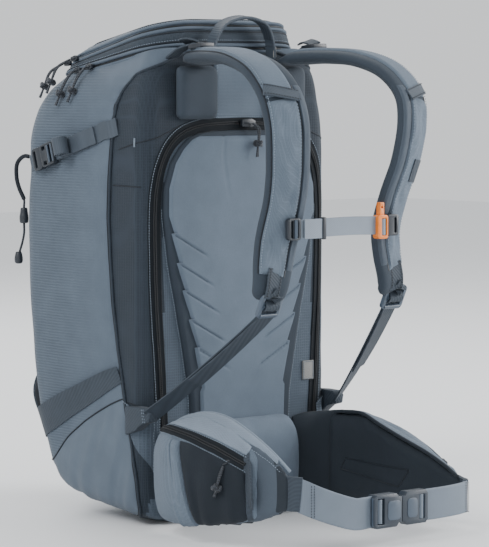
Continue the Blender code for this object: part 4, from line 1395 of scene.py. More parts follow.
def cross_band(strap, side, first, drop):
    """The webbing band sewn across the strap, dropping toward the wearer's middle."""
    rows = np.array([strap.between(first + drop * (0.84 - u) / 1.4, u, 0.0034)
                     for u in np.linspace(-0.60, 0.84, 15)])
    ways = np.array([strap.along[first + 1]] * len(rows))
    ribbon("strap_band_" + side, rows, 0.0135, ways, GREY_WEBBING, "harness", 0.0022)
    for label, edge in (("upper", -0.0055), ("lower", 0.0055)):
        line = evenly(rows + ways * edge + strap.outer[first] * 0.0014, 0.003)
        stitches(f"strap_band_{side}_stitches_{label}", line, strap.outer[first], THREAD_DARK, "harness",
                 slot="satin_webbing")


def shoulder_straps():
    """Both straps: core, covers, lining, piping, cross band and webbing ends, and the left one's tag."""
    for side, sign in SIDES:
        strap = Strap(sign)
        strap_core(strap, side)
        top, band, end = 6, strap.index(BAND_LEVEL), strap.index(COVER_END)
        strap_panel("strap_cover_upper_" + side, strap, COVER_EDGES, top, band + 3, COVER, 0.0006, 0.0022)
        strap_panel("strap_cover_" + side, strap, COVER_EDGES, band + 3, end, COVER, 0.0006, 0.0028,
                    folds=0.0019)
        strap_panel("strap_sleeve_" + side, strap, (-0.93, -0.57), band, end - 2, TIP, 0.0004, 0.0016,
                    folds=0.0004, columns=9)
        strap_panel("strap_lining_" + side, strap, (-0.84, 0.84), top, len(strap.centre) - 6, MESH, 0.0004,
                    0.0012, face=-1)
        strap_line_stitches("strap_seam_outer_" + side, strap, 0.755, 0.0027, top + 2, end - 2)
        strap_line_stitches("strap_seam_inner_" + side, strap, -0.43, 0.0031, band + 5, end - 2, pitch=0.0034)
        # A black rod sunk between the sleeve and the cover: painted shade in the gap between them.
        tube("strap_gap_shade_" + side, strap.strip(-0.52, -0.0006, band, end), 0.0013, BLACK, "harness",
             "strap_cover", 6)
        tube("strap_piping_" + side, strap.strip(0.84, 0.0002, top, end), 0.0009, BINDING, "harness",
             "strap_cover", 6)
        cross_band(strap, side, band, 3)
        strap_end(strap, side, sign, end)
    strap = Strap(1)
    middle = strap.index(TAG_LEVEL)
    turn = Matrix([strap.across[middle], -strap.outer[middle], -strap.along[middle]]).transposed()
    spot = Vector(strap.point(middle, 0.30, 0.0042))
    soft_block("strap_tag", spot, (0.013, 0.0012, 0.026), BAND, "harness", turn, 0.0004, "strap_cover")


def strap_end(strap, side, sign, end):
    """The stitched webbing on the strap's tip, the ladder-lock it holds, and the webbing to the bag."""
    x, y, z = 0.0920, -0.161, 0.2665
    tilt = Matrix.Rotation(math.radians(25), 3, "X")
    centre = at(sign * x, y + 0.0045, z - 0.0115)
    body = "ladder_lock_" + side
    top_bar = centre + tilt @ Vector((0, 0, 0.0110))
    route = [strap.point(i, 0.0, 0.0016) for i in range(end - 3, len(strap.centre) - 2, 2)]
    route += [top_bar + Vector((0, -0.0046, 0.002)), top_bar + Vector((0, -0.0050, -0.001))]
    line = smooth(route, 3)
    loop = ribbon("strap_loop_" + side, line, 0.0195, (1, 0, 0), BAND, None, 0.0020)
    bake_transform(loop)
    for label, edge in (("left", -0.0075), ("right", 0.0075)):
        run = line[: len(line) * 2 // 3] + np.array((edge, -0.0013, 0))
        stitches(f"strap_loop_{side}_stitches_{label}", evenly(run, 0.003), (0, -1, 0), THREAD_DARK,
                 "harness", slot="satin_webbing")
    windows = [rounded_box(0.0215, 0.0052, 0.0012, 0, shift) for shift in (-0.0068, 0.0068)]
    parts = [moulded("ladder_lock_frame_" + side, rounded_box(0.0305, 0.0290, 0.0045), 0.0050, centre, SLATE,
                     body, tilt, windows, 0.0012)]
    for shift in (-0.0115, 0.0, 0.0115):
        ends = [centre + tilt @ Vector((a, -0.0016, shift)) for a in (-0.0115, 0.0115)]
        parts.append(tube(f"ladder_bar_{side}_{shift}", ends, 0.0022, SLATE, body, "black_plastic", 10))
    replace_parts(joined("ladder_lock_frame_" + side, parts), "ladder_lock_" + side)
    wrap = ((0.0040, -0.0095), (0.0010, -0.0068), (-0.0042, -0.0035), (-0.0052, 0.0), (-0.0042, 0.0035),
            (0.0005, 0.0068), (0.0042, 0.0045))
    wrap = smooth([centre + tilt @ Vector((0, b, c)) for b, c in wrap], 3)
    ribbon("ladder_wrap_" + side, wrap, 0.0195, (1, 0, 0), BAND, body, 0.0018)
    lower_straps(side, sign, Vector((sign * x, y + 0.0140, z - 0.0245)))


def lower_straps(side, sign, start):
    """The webbing from the ladder-lock down to the bag's corner, and its tail lying on it."""
    finish = Vector((sign * 0.1415, -0.013, 0.126))
    sag = Vector((0, 0, 0.003))
    route = [start + Vector((0, -0.006, 0.010)), start, start.lerp(finish, 0.35) - sag,
             start.lerp(finish, 0.7) - sag, finish]
    line = placed(route, 8)
    t = np.linspace(0, 1, len(line))[:, None]
    sides = (1 - t * 0.35) * np.array((sign, 0, 0)) + t * 0.35 * np.array((0, 0.6, 0.8))
    made = ribbon("lower_strap_" + side, line, STRAP_WEBBING, sides, BAND, None)
    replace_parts(made, "lower_webbing_" + side)
    part = slice(6, -10)
    tail_line = line[part] + np.array((0, -0.0032, -0.0012)) * np.sin(t[part] * math.pi)
    tail = ribbon("lower_tail_" + side, tail_line, STRAP_WEBBING * 0.97, sides[part], BAND, None)
    for item in (made, tail):
        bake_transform(item)


def strap_tab(side, sign):
    """The tab sewn into the bag's corner, folded round the end of the lower webbing."""
    outline = np.array(((0.026, 0.134), (0.004, 0.135), (-0.012, 0.1345), (-0.0185, 0.130), (-0.0165, 0.120),
                        (-0.004, 0.1165), (0.008, 0.108), (0.026, 0.102)))
    middle = outline.mean(axis=0)
    rings = []
    for x, share in ((0.1330, 0.93), (0.1342, 1.0), (0.1452, 1.0), (0.1464, 0.93)):
        rings.append([at(sign * x, *(middle + (point - middle) * share)) for point in outline[::sign]])
    made = skin("strap_tab_" + side, rings, BAND, "bag", "dark_fabric")
    made.modifiers.new("edge", "BEVEL").width = 0.0008
    for k, reach in enumerate((-0.0105, -0.0075)):
        seam = np.array([at(sign * 0.1466, reach + a * 0.2, 0.1195 + a) for a in np.linspace(0.0, 0.0130, 6)])
        stitches(f"strap_tab_{side}_stitches_{k}", seam, (sign, 0, 0), THREAD_LIGHT, "bag",
                 slot="dark_fabric")


def lifters():
    """The load lifters: webbing from the bag, a flat buckle and its folded tail."""
    outline = [(-0.0115, -0.0100), (0.0115, -0.0100), (0.0125, -0.002), (0.0100, 0.0100), (-0.0100, 0.0100),
               (-0.0125, -0.002)]
    windows = [rounded_box(0.0175, 0.0036, 0.001, 0, shift) for shift in (-0.005, 0.004)]
    tilt = Matrix.Rotation(math.radians(-8), 3, "X") @ Matrix.Rotation(math.radians(90), 3, "X")
    strap = ((0.093, 0.0085, 0.520), (0.0915, -0.006, 0.5290), (0.0885, -0.0185, 0.5335),
             (0.0855, -0.0290, 0.5352), (0.0840, -0.0360, 0.5345))
    tail = ((0.0840, -0.0350, 0.5370), (0.0850, -0.0270, 0.5390), (0.0870, -0.0170, 0.5400),
            (0.0900, -0.0080, 0.5380))
    anchor = ((0.0830, -0.0380, 0.5330), (0.0825, -0.0470, 0.5315), (0.0825, -0.0600, 0.5305))
    for side, sign in SIDES:
        buckle = moulded("lifter_buckle_body_" + side, outline, 0.0048, at(sign * 0.084, -0.034, 0.5335),
                         BLACK, "harness", tilt, windows, 0.0010)
        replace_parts(buckle, "lifter_buckle_" + side)
        line = placed(mirrored(strap, sign), 5)
        made = ribbon("lifter_strap_" + side, line, 0.0155, (1, 0, 0), BAND, None)
        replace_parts(made, "lifter_webbing_" + side)
        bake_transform(made)
        ribbon("lifter_tail_" + side, placed(mirrored(tail, sign), 4), 0.0150, (1, 0, 0.25 * sign), BAND,
               "harness")
        ribbon("lifter_anchor_" + side, placed(mirrored(anchor, sign), 4), 0.0155, (1, 0, 0), BAND, "harness")


def haul_strap():
    """The haul loop with its lining, and a small blank tag at its root."""
    half = [(0.046, -0.002, 0.520), (0.045, -0.003, 0.532), (0.039, -0.005, 0.548), (0.027, -0.007, 0.561),
            (0.0, -0.008, 0.567)]
    line = placed(half + mirrored(half[-2::-1], -1), 5)
    made = ribbon("haul_strap", line, 0.0150, (0, 1, 0.1), GREY_WEBBING, "haul_loop", 0.0026)
    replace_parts(made, "haul_loop")
    middle = line.mean(axis=0)
    lining = np.array([p + unit(middle - p) * 0.0017 for p in line[8:-8]])
    ribbon("haul_strap_lining", lining, 0.0135, (0, 1, 0.1), BAND, "haul_loop", 0.0016)
    soft_block("haul_tag", at(0.0462, -0.0085, 0.5275), (0.0040, 0.0016, 0.0120), LABEL, "haul_loop",
               bevel=0.0005, slot="satin_webbing")


# ---------------------------------------------------------------- sternum strap


STERNUM_Y, STERNUM_Z = -0.177, 0.337


def sternum_band(name, points, width, finish, thickness=WEB_THICKNESS, steps=4):
    """Webbing on the sternum strap, through (x, toward the wearer, up) points."""
    line = placed([(x, STERNUM_Y - out, STERNUM_Z + up) for x, out, up in points], steps)
    return ribbon(name, line, width, (0, 0, 1), finish, "sternum", thickness)


def sternum_strap():
    """The sternum strap: webbing, rail clip, whistle buckle and the buckle's mate."""
    y, z = STERNUM_Y, STERNUM_Z
    web = ((-0.0800, 0.001, 0), (-0.0695, 0.003, 0), (-0.050, 0.0034, 0.0004), (0.0, 0.0042, 0.0012),
           (0.030, 0.0036, 0.0006), (0.050, 0.003, 0))
    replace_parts(sternum_band("sternum_web", web, STRAP_WEBBING, PALE_WEBBING, 0.0017, 8), "sternum_webbing")
    fold = ((-0.066, 0.0062, 0), (-0.054, 0.0068, 0), (-0.0410, 0.0062, 0))
    sternum_band("sternum_keeper", fold, 0.0212, PALE_WEBBING, 0.0018, 5)
    soft_block("sternum_keeper_band", at(-0.0380, y - 0.0050, z), (0.0050, 0.0062, 0.0240), BLACK, "sternum",
               bevel=0.001)
    slots = [rounded_box(0.0042, 0.0185, 0.001, 0.0035), rounded_box(0.0030, 0.0185, 0.001, -0.0035)]
    clip = moulded("sternum_clip_body", rounded_box(0.018, 0.0235, 0.003), 0.0056, at(-0.0785, y - 0.002, z),
                   BLACK, "sternum", windows=slots)
    ends = [at(-0.0780, y - 0.0058, z + a) for a in (-0.010, 0.010)]
    bar = tube("sternum_clip_bar", ends, 0.0017, SLATE, "sternum", "black_plastic", 8)
    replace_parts(joined("sternum_clip_body", [clip, bar]), "sternum_clip")
    centre = at(0.0485, y - 0.004, z - 0.0015)
    frame_piece = moulded("whistle_buckle_frame", rounded_box(0.0150, 0.0260, 0.0028), 0.0085, centre,
                          ORANGE, "sternum", windows=[rounded_box(0.0075, 0.0190, 0.001, 0.0018)],
                          slot="orange_plastic")
    post = moulded("whistle_post", rounded_box(0.0062, 0.0170, 0.0014), 0.0062,
                   centre + Vector((-0.0005, 0, 0.0185)), ORANGE, "sternum",
                   windows=[rounded_box(0.0030, 0.0018, 0.0006, 0, 0.003)], slot="orange_plastic")
    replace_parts(joined("whistle_buckle_body", [frame_piece, post]), "whistle_buckle")
    wrap = ((0.0470, 0.0062, -0.0015), (0.0502, 0.0076, -0.0015), (0.0535, 0.0062, -0.0015))
    sternum_band("sternum_wrap", wrap, 0.0180, PALE_WEBBING, 0.0014)
    mate = moulded("sternum_mate_body", rounded_box(0.0165, 0.0235, 0.003), 0.0070,
                   at(0.0640, y - 0.0045, z), BLACK, "sternum",
                   windows=[rounded_box(0.0030, 0.0170, 0.001, 0.0035)])
    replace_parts(mate, "sternum_buckle_mate")
    sternum_band("sternum_anchor", ((0.0660, 0.001, 0), (0.0705, -0.004, 0), (0.0735, -0.010, 0)), 0.0180,
                 BAND)


# ---------------------------------------------------------------- hip belt


# Sections along each wing: x, y from the back face, lowest and highest z, thickness
WINGS = {
    "right": (
        (0.118, -0.020, 0.014, 0.114, 0.018), (0.134, -0.040, 0.010, 0.120, 0.030),
        (0.146, -0.070, 0.009, 0.132, 0.038), (0.151, -0.105, 0.012, 0.137, 0.040),
        (0.149, -0.140, 0.016, 0.134, 0.036), (0.143, -0.175, 0.022, 0.121, 0.026),
        (0.135, -0.206, 0.033, 0.103, 0.016), (0.127, -0.230, 0.043, 0.083, 0.009),
    ),
    "left": (
        (0.118, -0.020, 0.014, 0.112, 0.018), (0.132, -0.040, 0.007, 0.114, 0.032),
        (0.142, -0.070, 0.005, 0.114, 0.044), (0.145, -0.105, 0.006, 0.104, 0.052),
        (0.143, -0.140, 0.009, 0.092, 0.044), (0.138, -0.175, 0.012, 0.079, 0.026),
        (0.132, -0.206, 0.016, 0.067, 0.016), (0.126, -0.230, 0.020, 0.056, 0.009),
    ),
}
ROOT_SECTIONS = (
    (0.078, -0.004, 0.020, 0.108, 0.007), (0.090, -0.009, 0.016, 0.112, 0.012),
    (0.106, -0.015, 0.014, 0.113, 0.013), (0.121, -0.025, 0.012, 0.114, 0.014),
    (0.128, -0.036, 0.012, 0.115, 0.013),
)
PAD_THICKNESS = 0.011
# The pocket's section: height from its middle, and how much of the wing's thickness it fills
POCKET_PROFILE = (
    (1.0, 0.22), (0.96, 0.36), (0.82, 0.66), (0.62, 0.89), (0.42, 0.99), (0.10, 1.0), (-0.25, 0.99),
    (-0.55, 0.93), (-0.80, 0.78), (-0.95, 0.50), (-1.0, 0.22),
)
HIP_ZIP = (
    (-0.139, -0.030, 0.1150), (-0.147, -0.042, 0.1170), (-0.167, -0.087, 0.1200), (-0.170, -0.116, 0.1170),
    (-0.167, -0.138, 0.1110), (-0.162, -0.156, 0.1050), (-0.157, -0.174, 0.0980), (-0.151, -0.187, 0.0915),
)
POCKET_CREST = (
    (-0.136, -0.042, 0.1200), (-0.146, -0.087, 0.1330), (-0.148, -0.116, 0.1340), (-0.146, -0.138, 0.1305),
    (-0.144, -0.156, 0.1250), (-0.141, -0.174, 0.1170), (-0.140, -0.187, 0.1080),
)
STRETCH_TOP = (
    (-0.170, -0.104, 0.1095), (-0.169, -0.122, 0.1075), (-0.167, -0.138, 0.1030), (-0.162, -0.156, 0.0975),
    (-0.157, -0.174, 0.0905), (-0.152, -0.188, 0.0840),
)
STRETCH_BASE = (
    (-0.166, -0.126, 0.0180), (-0.164, -0.133, 0.0190), (-0.161, -0.142, 0.0220), (-0.157, -0.158, 0.0260),
    (-0.152, -0.172, 0.0310), (-0.148, -0.186, 0.0360),
)
FOLD_TOP = ((-0.168, -0.084, 0.1110), (-0.169, -0.092, 0.1100), (-0.170, -0.1035, 0.1090))
FOLD_BASE = ((-0.166, -0.100, 0.0170), (-0.166, -0.112, 0.0175), (-0.166, -0.126, 0.0180))
POCKET_SEAM = (
    (-0.152, -0.188, 0.1040), (-0.153, -0.190, 0.0900), (-0.152, -0.191, 0.0700), (-0.150, -0.191, 0.0500),
    (-0.146, -0.188, 0.0300),
)
GEAR_LOOP = (
    (-0.1530, -0.1895, 0.0930), (-0.1560, -0.1945, 0.0860), (-0.1570, -0.1975, 0.0720),
    (-0.1560, -0.1975, 0.0580), (-0.1520, -0.1935, 0.0470),
)
PATCH = ((0.118, -0.053, 0.061), (0.123, -0.153, 0.057), (0.121, -0.138, 0.037), (0.117, -0.045, 0.048),
         (0.118, -0.053, 0.061))


def squared(angle, power_u, power_v):
    """A point on a rounded square, by its angle."""
    c, s = math.cos(angle), math.sin(angle)
    return math.copysign(abs(c) ** power_u, c), math.copysign(abs(s) ** power_v, s)


def wing_rows(side):
    """Rows along a wing: middle of the section, direction out, lowest and highest z, thickness."""
    sign = 1 if side == "left" else -1
    rows = WINGS[side]
    path = smooth([(sign * row[0], row[1], 0) for row in rows], 9)
    spans = smooth([row[2:] for row in rows], 9)
    out = np.array([unit((-way[1], way[0], 0)) for way in tangents(path)])
    return path, out * np.sign(out[:, :1]) * sign, spans


def wing_line(side, rows, depth, rise):
    """A line along a wing: depth is from its middle, as half the thickness plus or minus a margin."""
    path, out, spans = wing_rows(side)
    face, margin = depth
    points = []
    for i in rows:
        spot = path[i] + out[i] * face * (spans[i][2] / 2 + margin)
        points.append(at(*spot[:2], spans[i][1] + rise))
    return np.array(points)


def wing_shape(name, side, inner, outer, finish, shrink=0.0, power=5.0, columns=30, first=0):
    """A closed pad along a wing, between two depths worked out from the thickness."""
    path, out, spans = wing_rows(side)
    rings = []
    for i in range(first, len(path)):
        low, high, thick = spans[i]
        half = (high - low) / 2 - shrink
        end = rounded(min(i - first, len(path) - 1 - i) + 0.15, 5)
        a, b = inner(thick), outer(thick)
        ring = []
        for angle in np.linspace(0, 2 * math.pi, columns, endpoint=False):
            u, v = squared(angle, 2 / 2.4, 2 / power)
            spot = path[i] + out[i] * ((a + b) / 2 + u * (b - a) / 2 * (0.35 + 0.65 * end))
            ring.append(at(*spot[:2], (low + high) / 2 + v * half * (0.85 + 0.15 * end)))
        rings.append(ring)
    return skin(name, rings, finish, "hip_wing_" + side)


def wing_pocket(side, last):
    """The zipped pocket on a wing's outer face: a sloping top panel, a full belly and a tucked base."""
    path, out, spans = wing_rows(side)
    first = 1
    rings = []
    levels, shares = np.array(POCKET_PROFILE)[::-1].T
    belly = [(v, float(np.interp(v, levels, shares))) for v in np.linspace(1, -1, 26)]
    back = [(v, None) for v in np.linspace(-0.9, 0.9, 8)]
    for i in range(first, last):
        low, high, thick = spans[i]
        middle, half = (low + high) / 2, (high - low) / 2
        end = rounded(min(i - first, last - 1 - i) + 0.1, 6)
        ring = []
        for level, share in belly + back:
            near = 0.0022 - thick / 2 + 0.0056 * (1 - max(0, abs(level) - 0.8) / 0.2)
            depth = near if share is None else near + (thick / 2 - near) * share * (0.25 + 0.75 * end)
            spot = path[i] + out[i] * depth
            ring.append(at(*spot[:2], middle + (level * half + 0.0012 * (level > 0)) * (0.93 + 0.07 * end)))
        rings.append(ring)
    return skin("wing_pocket_" + side, rings, COVER, "hip_wing_" + side)


def wing_brow(side, finish):
    """The fabric that runs from a wing's lip over the pad's top onto its pocket."""
    path, out, spans = wing_rows(side)
    rings = []
    for i in range(4, len(path) - 6):
        high, thick = spans[i][1:]
        reach = min(0.019, thick * 0.62)
        upper, lower = [], []
        for t in np.linspace(0, 1, 9):
            spot = path[i] + out[i] * (0.0022 - thick / 2 + (reach - 0.0022) * t)
            rise = 0.0010 + 0.0012 * math.sin(t * math.pi) - 0.0040 * t ** 1.6
            upper.append(at(*spot[:2], high + rise))
            lower.append(at(*spot[:2], high + rise - 0.0026))
        rings.append(upper + lower[::-1])
    skin("wing_brow_" + side, rings, finish, "hip_wing_" + side, "slate_fabric")


def wing_root(side, sign):
    """The padded root that joins a wing to the bag's back."""
    path = smooth([(sign * x, y, 0) for x, y, *_ in ROOT_SECTIONS], 5)
    spans = smooth([row[2:] for row in ROOT_SECTIONS], 5)
    rings = []
    for spot, way, (low, high, thick) in zip(path, tangents(path), spans):
        out = unit((-way[1], way[0], 0))
        ring = []
        for angle in np.linspace(0, 2 * math.pi, 26, endpoint=False):
            u, v = squared(angle, 0.8, 0.4)
            place = spot + out * u * thick / 2
            ring.append(at(*place[:2], (low + high) / 2 + v * (high - low) / 2))
        rings.append(ring)
    made = skin("wing_root_" + side, rings, WING, None, "dark_fabric")
    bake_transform(made)


def laid_panel(name, tree, upper, lower, finish, slot, lift, puff, seed, rows=26, columns=16):
    """A fabric panel of the right pocket, laid between an upper and a lower line of frame points."""
    picked = []
    for edge in (upper, lower):
        line = placed(edge, 8)
        picked.append(line[np.linspace(0, len(line) - 1, columns + 8).round().astype(int)])
    rings = []
    for t in np.linspace(0, 1, rows):
        line, ways = on_surface(tree, picked[0] * (1 - t) + picked[1] * t, 0.0)
        top, bottom = [], []
        for c, (point, way) in enumerate(zip(line, ways)):
            s = c / (len(line) - 1)
            edge = rounded(min(t, 1 - t) + 0.004, 0.09) * rounded(min(s, 1 - s) + 0.004, 0.09)
            fold = math.sin(s * 17 + t * 3.0 + seed) * 0.6
            fold += noise.noise(Vector((s * 5 + seed, t * 1.6, seed))) * 1.3
            top.append(point + way * (lift + edge * (puff + 0.0010 * fold)))
            bottom.append(point - way * 0.0008)
        rings.append(top + bottom[::-1])
    skin(name, rings, finish, "hip_wing_right", slot)


def wing_base(side, columns, last):
    """The wing's pad and its pocket, settled as cloth."""
    pad = wing_shape("wing_pad_" + side, side, lambda t: -t / 2, lambda t: -t / 2 + PAD_THICKNESS, WING,
                     power=6, columns=columns)
    settled(pad, 0.005, 0.002, pressure=2)
    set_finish(pad, "dark_fabric")
    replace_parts(pad, "hip_wing_" + side)
    pocket = wing_pocket(side, last)
    settled(pocket, 0.0045, 0.005)
    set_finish(pocket, "slate_fabric")
    return tree_of(pad), tree_of(pocket)


def hip_zip(side, tree, line, width, seam, label):
    """The pocket's zip along a line: tape, coil, and stitches above and below it."""
    body = "hip_wing_" + side
    laid_band("hip_zip_tape_" + side, tree, line, width, TAPE, body, "dark_fabric", 0.0009)
    coil_line, ways = on_surface(tree, line, 0.0016)
    zip_coil("hip_zip_" + side, coil_line, ways, body)
    for place, shift in (("upper", seam), ("lower", -seam)):
        edge, lie = on_surface(tree, line + np.array((0, 0, shift)), 0.0008)
        stitches(label + place, edge, lie, THREAD_LIGHT, body, slot="dark_fabric")


def wing_lip(side, radius, finish, slot):
    """The rolled edge along the wing's top."""
    rows = range(4, len(wing_rows(side)[0]) - 1, 2)
    line = smooth(wing_line(side, rows, (-1, -0.002), 0.0004), 2)
    tube("wing_lip_" + side, line, radius, finish, "hip_wing_" + side, slot, 8)


def right_wing():
    """The wing on the wearer's right, with its stretch pocket, gear loop and plain tip."""
    body = "hip_wing_right"
    tree = wing_base("right", 30, 54)[1]
    hip_zip("right", tree, evenly(placed(HIP_ZIP, 6), 0.0030), 0.0125, 0.0072, "hip_zip_stitches_")
    below_crest = [(x, y, z + 0.0090) for x, y, z in HIP_ZIP[1:]]
    laid_panel("hip_pocket_top", tree, POCKET_CREST, below_crest, PALE, "slate_fabric", 0.0006, 0.0014, 2.0)
    laid_panel("hip_pocket_stretch", tree, STRETCH_TOP, STRETCH_BASE, STRETCH, "dark_fabric", 0.0006, 0.0024,
               5.0, 30, 22)
    laid_panel("hip_pocket_fold", tree, FOLD_TOP, FOLD_BASE, COVER, "slate_fabric", 0.0008, 0.0052, 1.0, 30,
               10)
    laid_band("hip_pocket_seam", tree, evenly(placed(POCKET_SEAM, 6), 0.003), 0.0060, BAND, body,
              "dark_fabric")
    tip_start = 46
    tip = wing_shape("wing_tip_right", "right", lambda t: -t / 2 + 0.001, lambda t: t / 2 + 0.0002, TIP,
                     0.0015, first=tip_start)
    settled(tip, 0.0045, 0.002, pressure=2)
    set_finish(tip, "slate_fabric")
    wing_brow("right", PALE)
    wing_lip("right", 0.0019, PALE, "slate_fabric")
    made = ribbon("gear_loop_band", placed(GEAR_LOOP, 6), 0.0120, (0.35, 1, 0.1), BAND, body, 0.0022)
    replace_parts(made, "gear_loop")
    rim = wing_line("right", range(tip_start, len(wing_rows("right")[0]) - 1, 2), (1, 0.0010), -0.004)
    line, ways = on_surface(tree_of(tip), smooth(rim, 3), 0.0004)
    stitches("wing_tip_stitches_right", evenly(line, 0.003), ways[0], THREAD_LIGHT, body, slot="slate_fabric")


def left_wing():
    """The wing on the wearer's left, whose inner face shows a stitched patch."""
    body = "hip_wing_left"
    inner, tree = wing_base("left", 36, 60)
    line = evenly(wing_line("left", range(7, 57, 3), (1, 0.001), -0.020), 0.003)
    hip_zip("left", tree, on_surface(tree, line)[0], 0.0150, 0.0084, "hip_zip_stitches_left_")
    wing_brow("left", COVER)
    wing_lip("left", 0.0020, WING, "dark_fabric")
    seam, lie = on_surface(inner, evenly([at(*p) for p in PATCH], 0.003), 0.0003)
    stitches("wing_patch_stitches", seam, lie, THREAD_DARK, body, 0.0032, 0.0026, slot="dark_fabric")
    tube("wing_patch_seam", seam, 0.0006, BLACK, body, "dark_fabric", 5)


BELT_Z = 0.038


def hip_webbing(side, sign):
    """Belt webbing from the wing's tip to the buckle, its end turned back, and its sewn sleeve."""
    tip_z = sum(WINGS[side][-1][2:4]) / 2
    body = "hip_wing_" + side
    route = ((0.1290, -0.2240, 0), (0.1255, -0.2375, 0), (0.113, -0.2495, 0.3), (0.088, -0.2565, 0.7),
             (0.062, -0.2595, 1), (0.0425, -0.2595, 1), (0.0285, -0.2575, 1))
    line = placed([(sign * x, y, tip_z + (BELT_Z - tip_z) * share) for x, y, share in route], 6)
    sliding = side == "left"
    rides = None if sliding else body
    made = ribbon("belt_webbing_" + side, line, HIP_WEBBING, (0, 0, 1), WEBBING, rides)
    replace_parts(made, "hip_webbing_" + side)
    inner = line[4:-7] + np.array((0, 0.0030, 0))
    tail = ribbon("belt_tail_" + side, inner, HIP_WEBBING * 0.98, (0, 0, 1), WEBBING, rides)
    if sliding:
        for item in (made, tail):
            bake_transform(item)
    sleeve = ((0.1315, -0.2170, 0.002), (0.1290, -0.2290, 0), (0.1265, -0.2360, 0),
              (0.1225, -0.2408, -0.0005))
    sleeve = placed([(sign * x, y, tip_z + rise) for x, y, rise in sleeve], 6)
    ribbon("belt_sleeve_" + side, sleeve, HIP_WEBBING + 0.0026, (0, 0, 1), BAND, body, 0.0056, "dark_fabric")
    start = line[len(line) // 3]
    for label, shift, out in (("inner", 0.004, -0.0012), ("outer", 0.0, -0.0013)):
        run = np.array([start + np.array((sign * shift, out, a)) for a in np.linspace(-0.016, 0.016, 12)])
        stitches(f"belt_stitches_{side}_{label}", run, (0, -1, 0), THREAD_DARK, body, slot="satin_webbing")


def hip_buckle():
    """Side-release buckle: a female half with a window, and a male half with arms and a window."""
    female_at, male_at = at(-0.020, -0.260, BELT_Z), at(0.0215, -0.260, BELT_Z)
    right, left = "hip_wing_right", "hip_buckle_male"
    h, e = 0.0180, 0.0140
    female = [(-0.0170, h), (0.0125, h), (0.0160, e), (0.0205, e), (0.0205, -e), (0.0160, -e), (0.0125, -h),
              (-0.0170, -h), (-0.0205, -e), (-0.0205, e)]
    shell = moulded("hip_buckle_shell", female[::-1], 0.0125, female_at, DARK_SLATE, right,
                    windows=[rounded_box(0.0105, 0.0280, 0.0012, -0.0105)], bevel=0.0013)
    plate = moulded("hip_buckle_plate", rounded_box(0.0190, 0.0210, 0.004, 0.0085), 0.0010,
                    female_at + Vector((0, -0.0065, 0)), SLATE, right, bevel=0.0004)
    ends = [female_at + Vector((-0.0178, -0.0030, a)) for a in (-0.0150, 0.0150)]
    bar = tube("hip_buckle_bar", ends, 0.0030, SLATE, right, "black_plastic", 12)
    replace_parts(joined("hip_buckle_shell", [shell, plate, bar]), "hip_buckle_female")
    male = [(-0.0195, -e), (-0.0155, -e), (-0.0125, -h), (0.0150, -h), (0.0185, -e), (0.0185, e), (0.0150, h),
            (-0.0125, h), (-0.0155, e), (-0.0195, e)]
    head = moulded("hip_buckle_head", male, 0.0108, male_at, DARK_SLATE, left,
                   windows=[rounded_box(0.0085, 0.0270, 0.0012, 0.0095)], bevel=0.0013)
    ends = [male_at + Vector((0.0160, -0.0026, a)) for a in (-0.0145, 0.0145)]
    parts = [head, tube("hip_buckle_male_bar", ends, 0.0028, SLATE, left, "black_plastic", 12)]
    for label, shift, depth in (("tongue", 0.0, 0.0040), ("arm_0", -0.0100, 0.0046),
                                ("arm_1", 0.0100, 0.0046)):
        outline = rounded_box(0.0240, 0.0050, 0.0020, -0.0255, shift)
        parts.append(moulded("hip_buckle_" + label, outline, depth, male_at, SLATE, left, bevel=0.0008))
    parts.append(moulded("hip_buckle_face", rounded_box(0.0150, 0.0210, 0.004, -0.0050), 0.0010,
                         male_at + Vector((0, -0.0056, 0)), SLATE, left, bevel=0.0004))
    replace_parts(joined("hip_buckle_head", parts), "hip_buckle_male")
    wrap = ((0.0034, 0.0035), (0.0031, -0.0020), (0.0013, -0.0046), (-0.0013, -0.0048), (-0.0031, -0.0024),
            (-0.0035, 0.0035))
    for label, spot, body, way in (("female", female_at + Vector((-0.0105, 0, 0)), right, -1),
                                   ("male", male_at + Vector((0.0095, 0, 0)), left, 1)):
        line = smooth([spot + Vector((way * a, b, 0)) for a, b in wrap], 3)
        ribbon("buckle_wrap_" + label, line, 0.0262, (0, 0, 1), WEBBING, body, 0.0016)


# ---------------------------------------------------------------- bag side and front


def hugging(start, end, lift):
    """A straight line that lies on the bag at its start, and leaves it toward its end."""
    straight = evenly([start, end], 0.004)
    laid, ways = on_surface(bag_surface, straight, lift)
    share = np.linspace(0, 1, len(straight))[:, None] ** 2
    return laid * (1 - share) + (straight + ways * (lift - 0.0016)) * share


def compression():
    """The compression straps: webbing, its rolled tail, and both halves of the buckle."""
    slope = math.atan2(0.041, 0.135)
    along = Vector((0, math.cos(slope), -math.sin(slope)))
    up = Vector((0, math.sin(slope), math.cos(slope)))
    for side, sign in SIDES:
        start = at(sign * 0.1450, 0.052, 0.444)
        out = Vector((sign, 0, 0))
        axes = Matrix([along, -out, up]).transposed()
        ends = (start - along * 0.004, start + along * 0.103)
        made = ribbon("compression_strap_" + side, hugging(*ends, 0.0016), STRAP_WEBBING, up, GREY_WEBBING,
                      "bag", 0.0020)
        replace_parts(made, "compression_webbing_" + side)
        ribbon("compression_tail_" + side, hugging(*ends, 0.0040)[9:], STRAP_WEBBING * 0.98, up,
               GREY_WEBBING, "bag", 0.0019)
        middle = start + along * 0.0795 + out * 0.0118
        roll = []
        for k in range(64):
            angle = 2 * math.pi * k / 20 - 1.4
            radius = 0.0024 + 0.0070 * k / 63
            roll.append(middle + along * radius * math.cos(angle) + out * radius * math.sin(angle))
        ribbon("compression_roll_" + side, np.array(roll), STRAP_WEBBING * 0.96, up, GREY_WEBBING, "bag",
               0.0016)
        compression_buckle(side, start, along, out, up, axes)


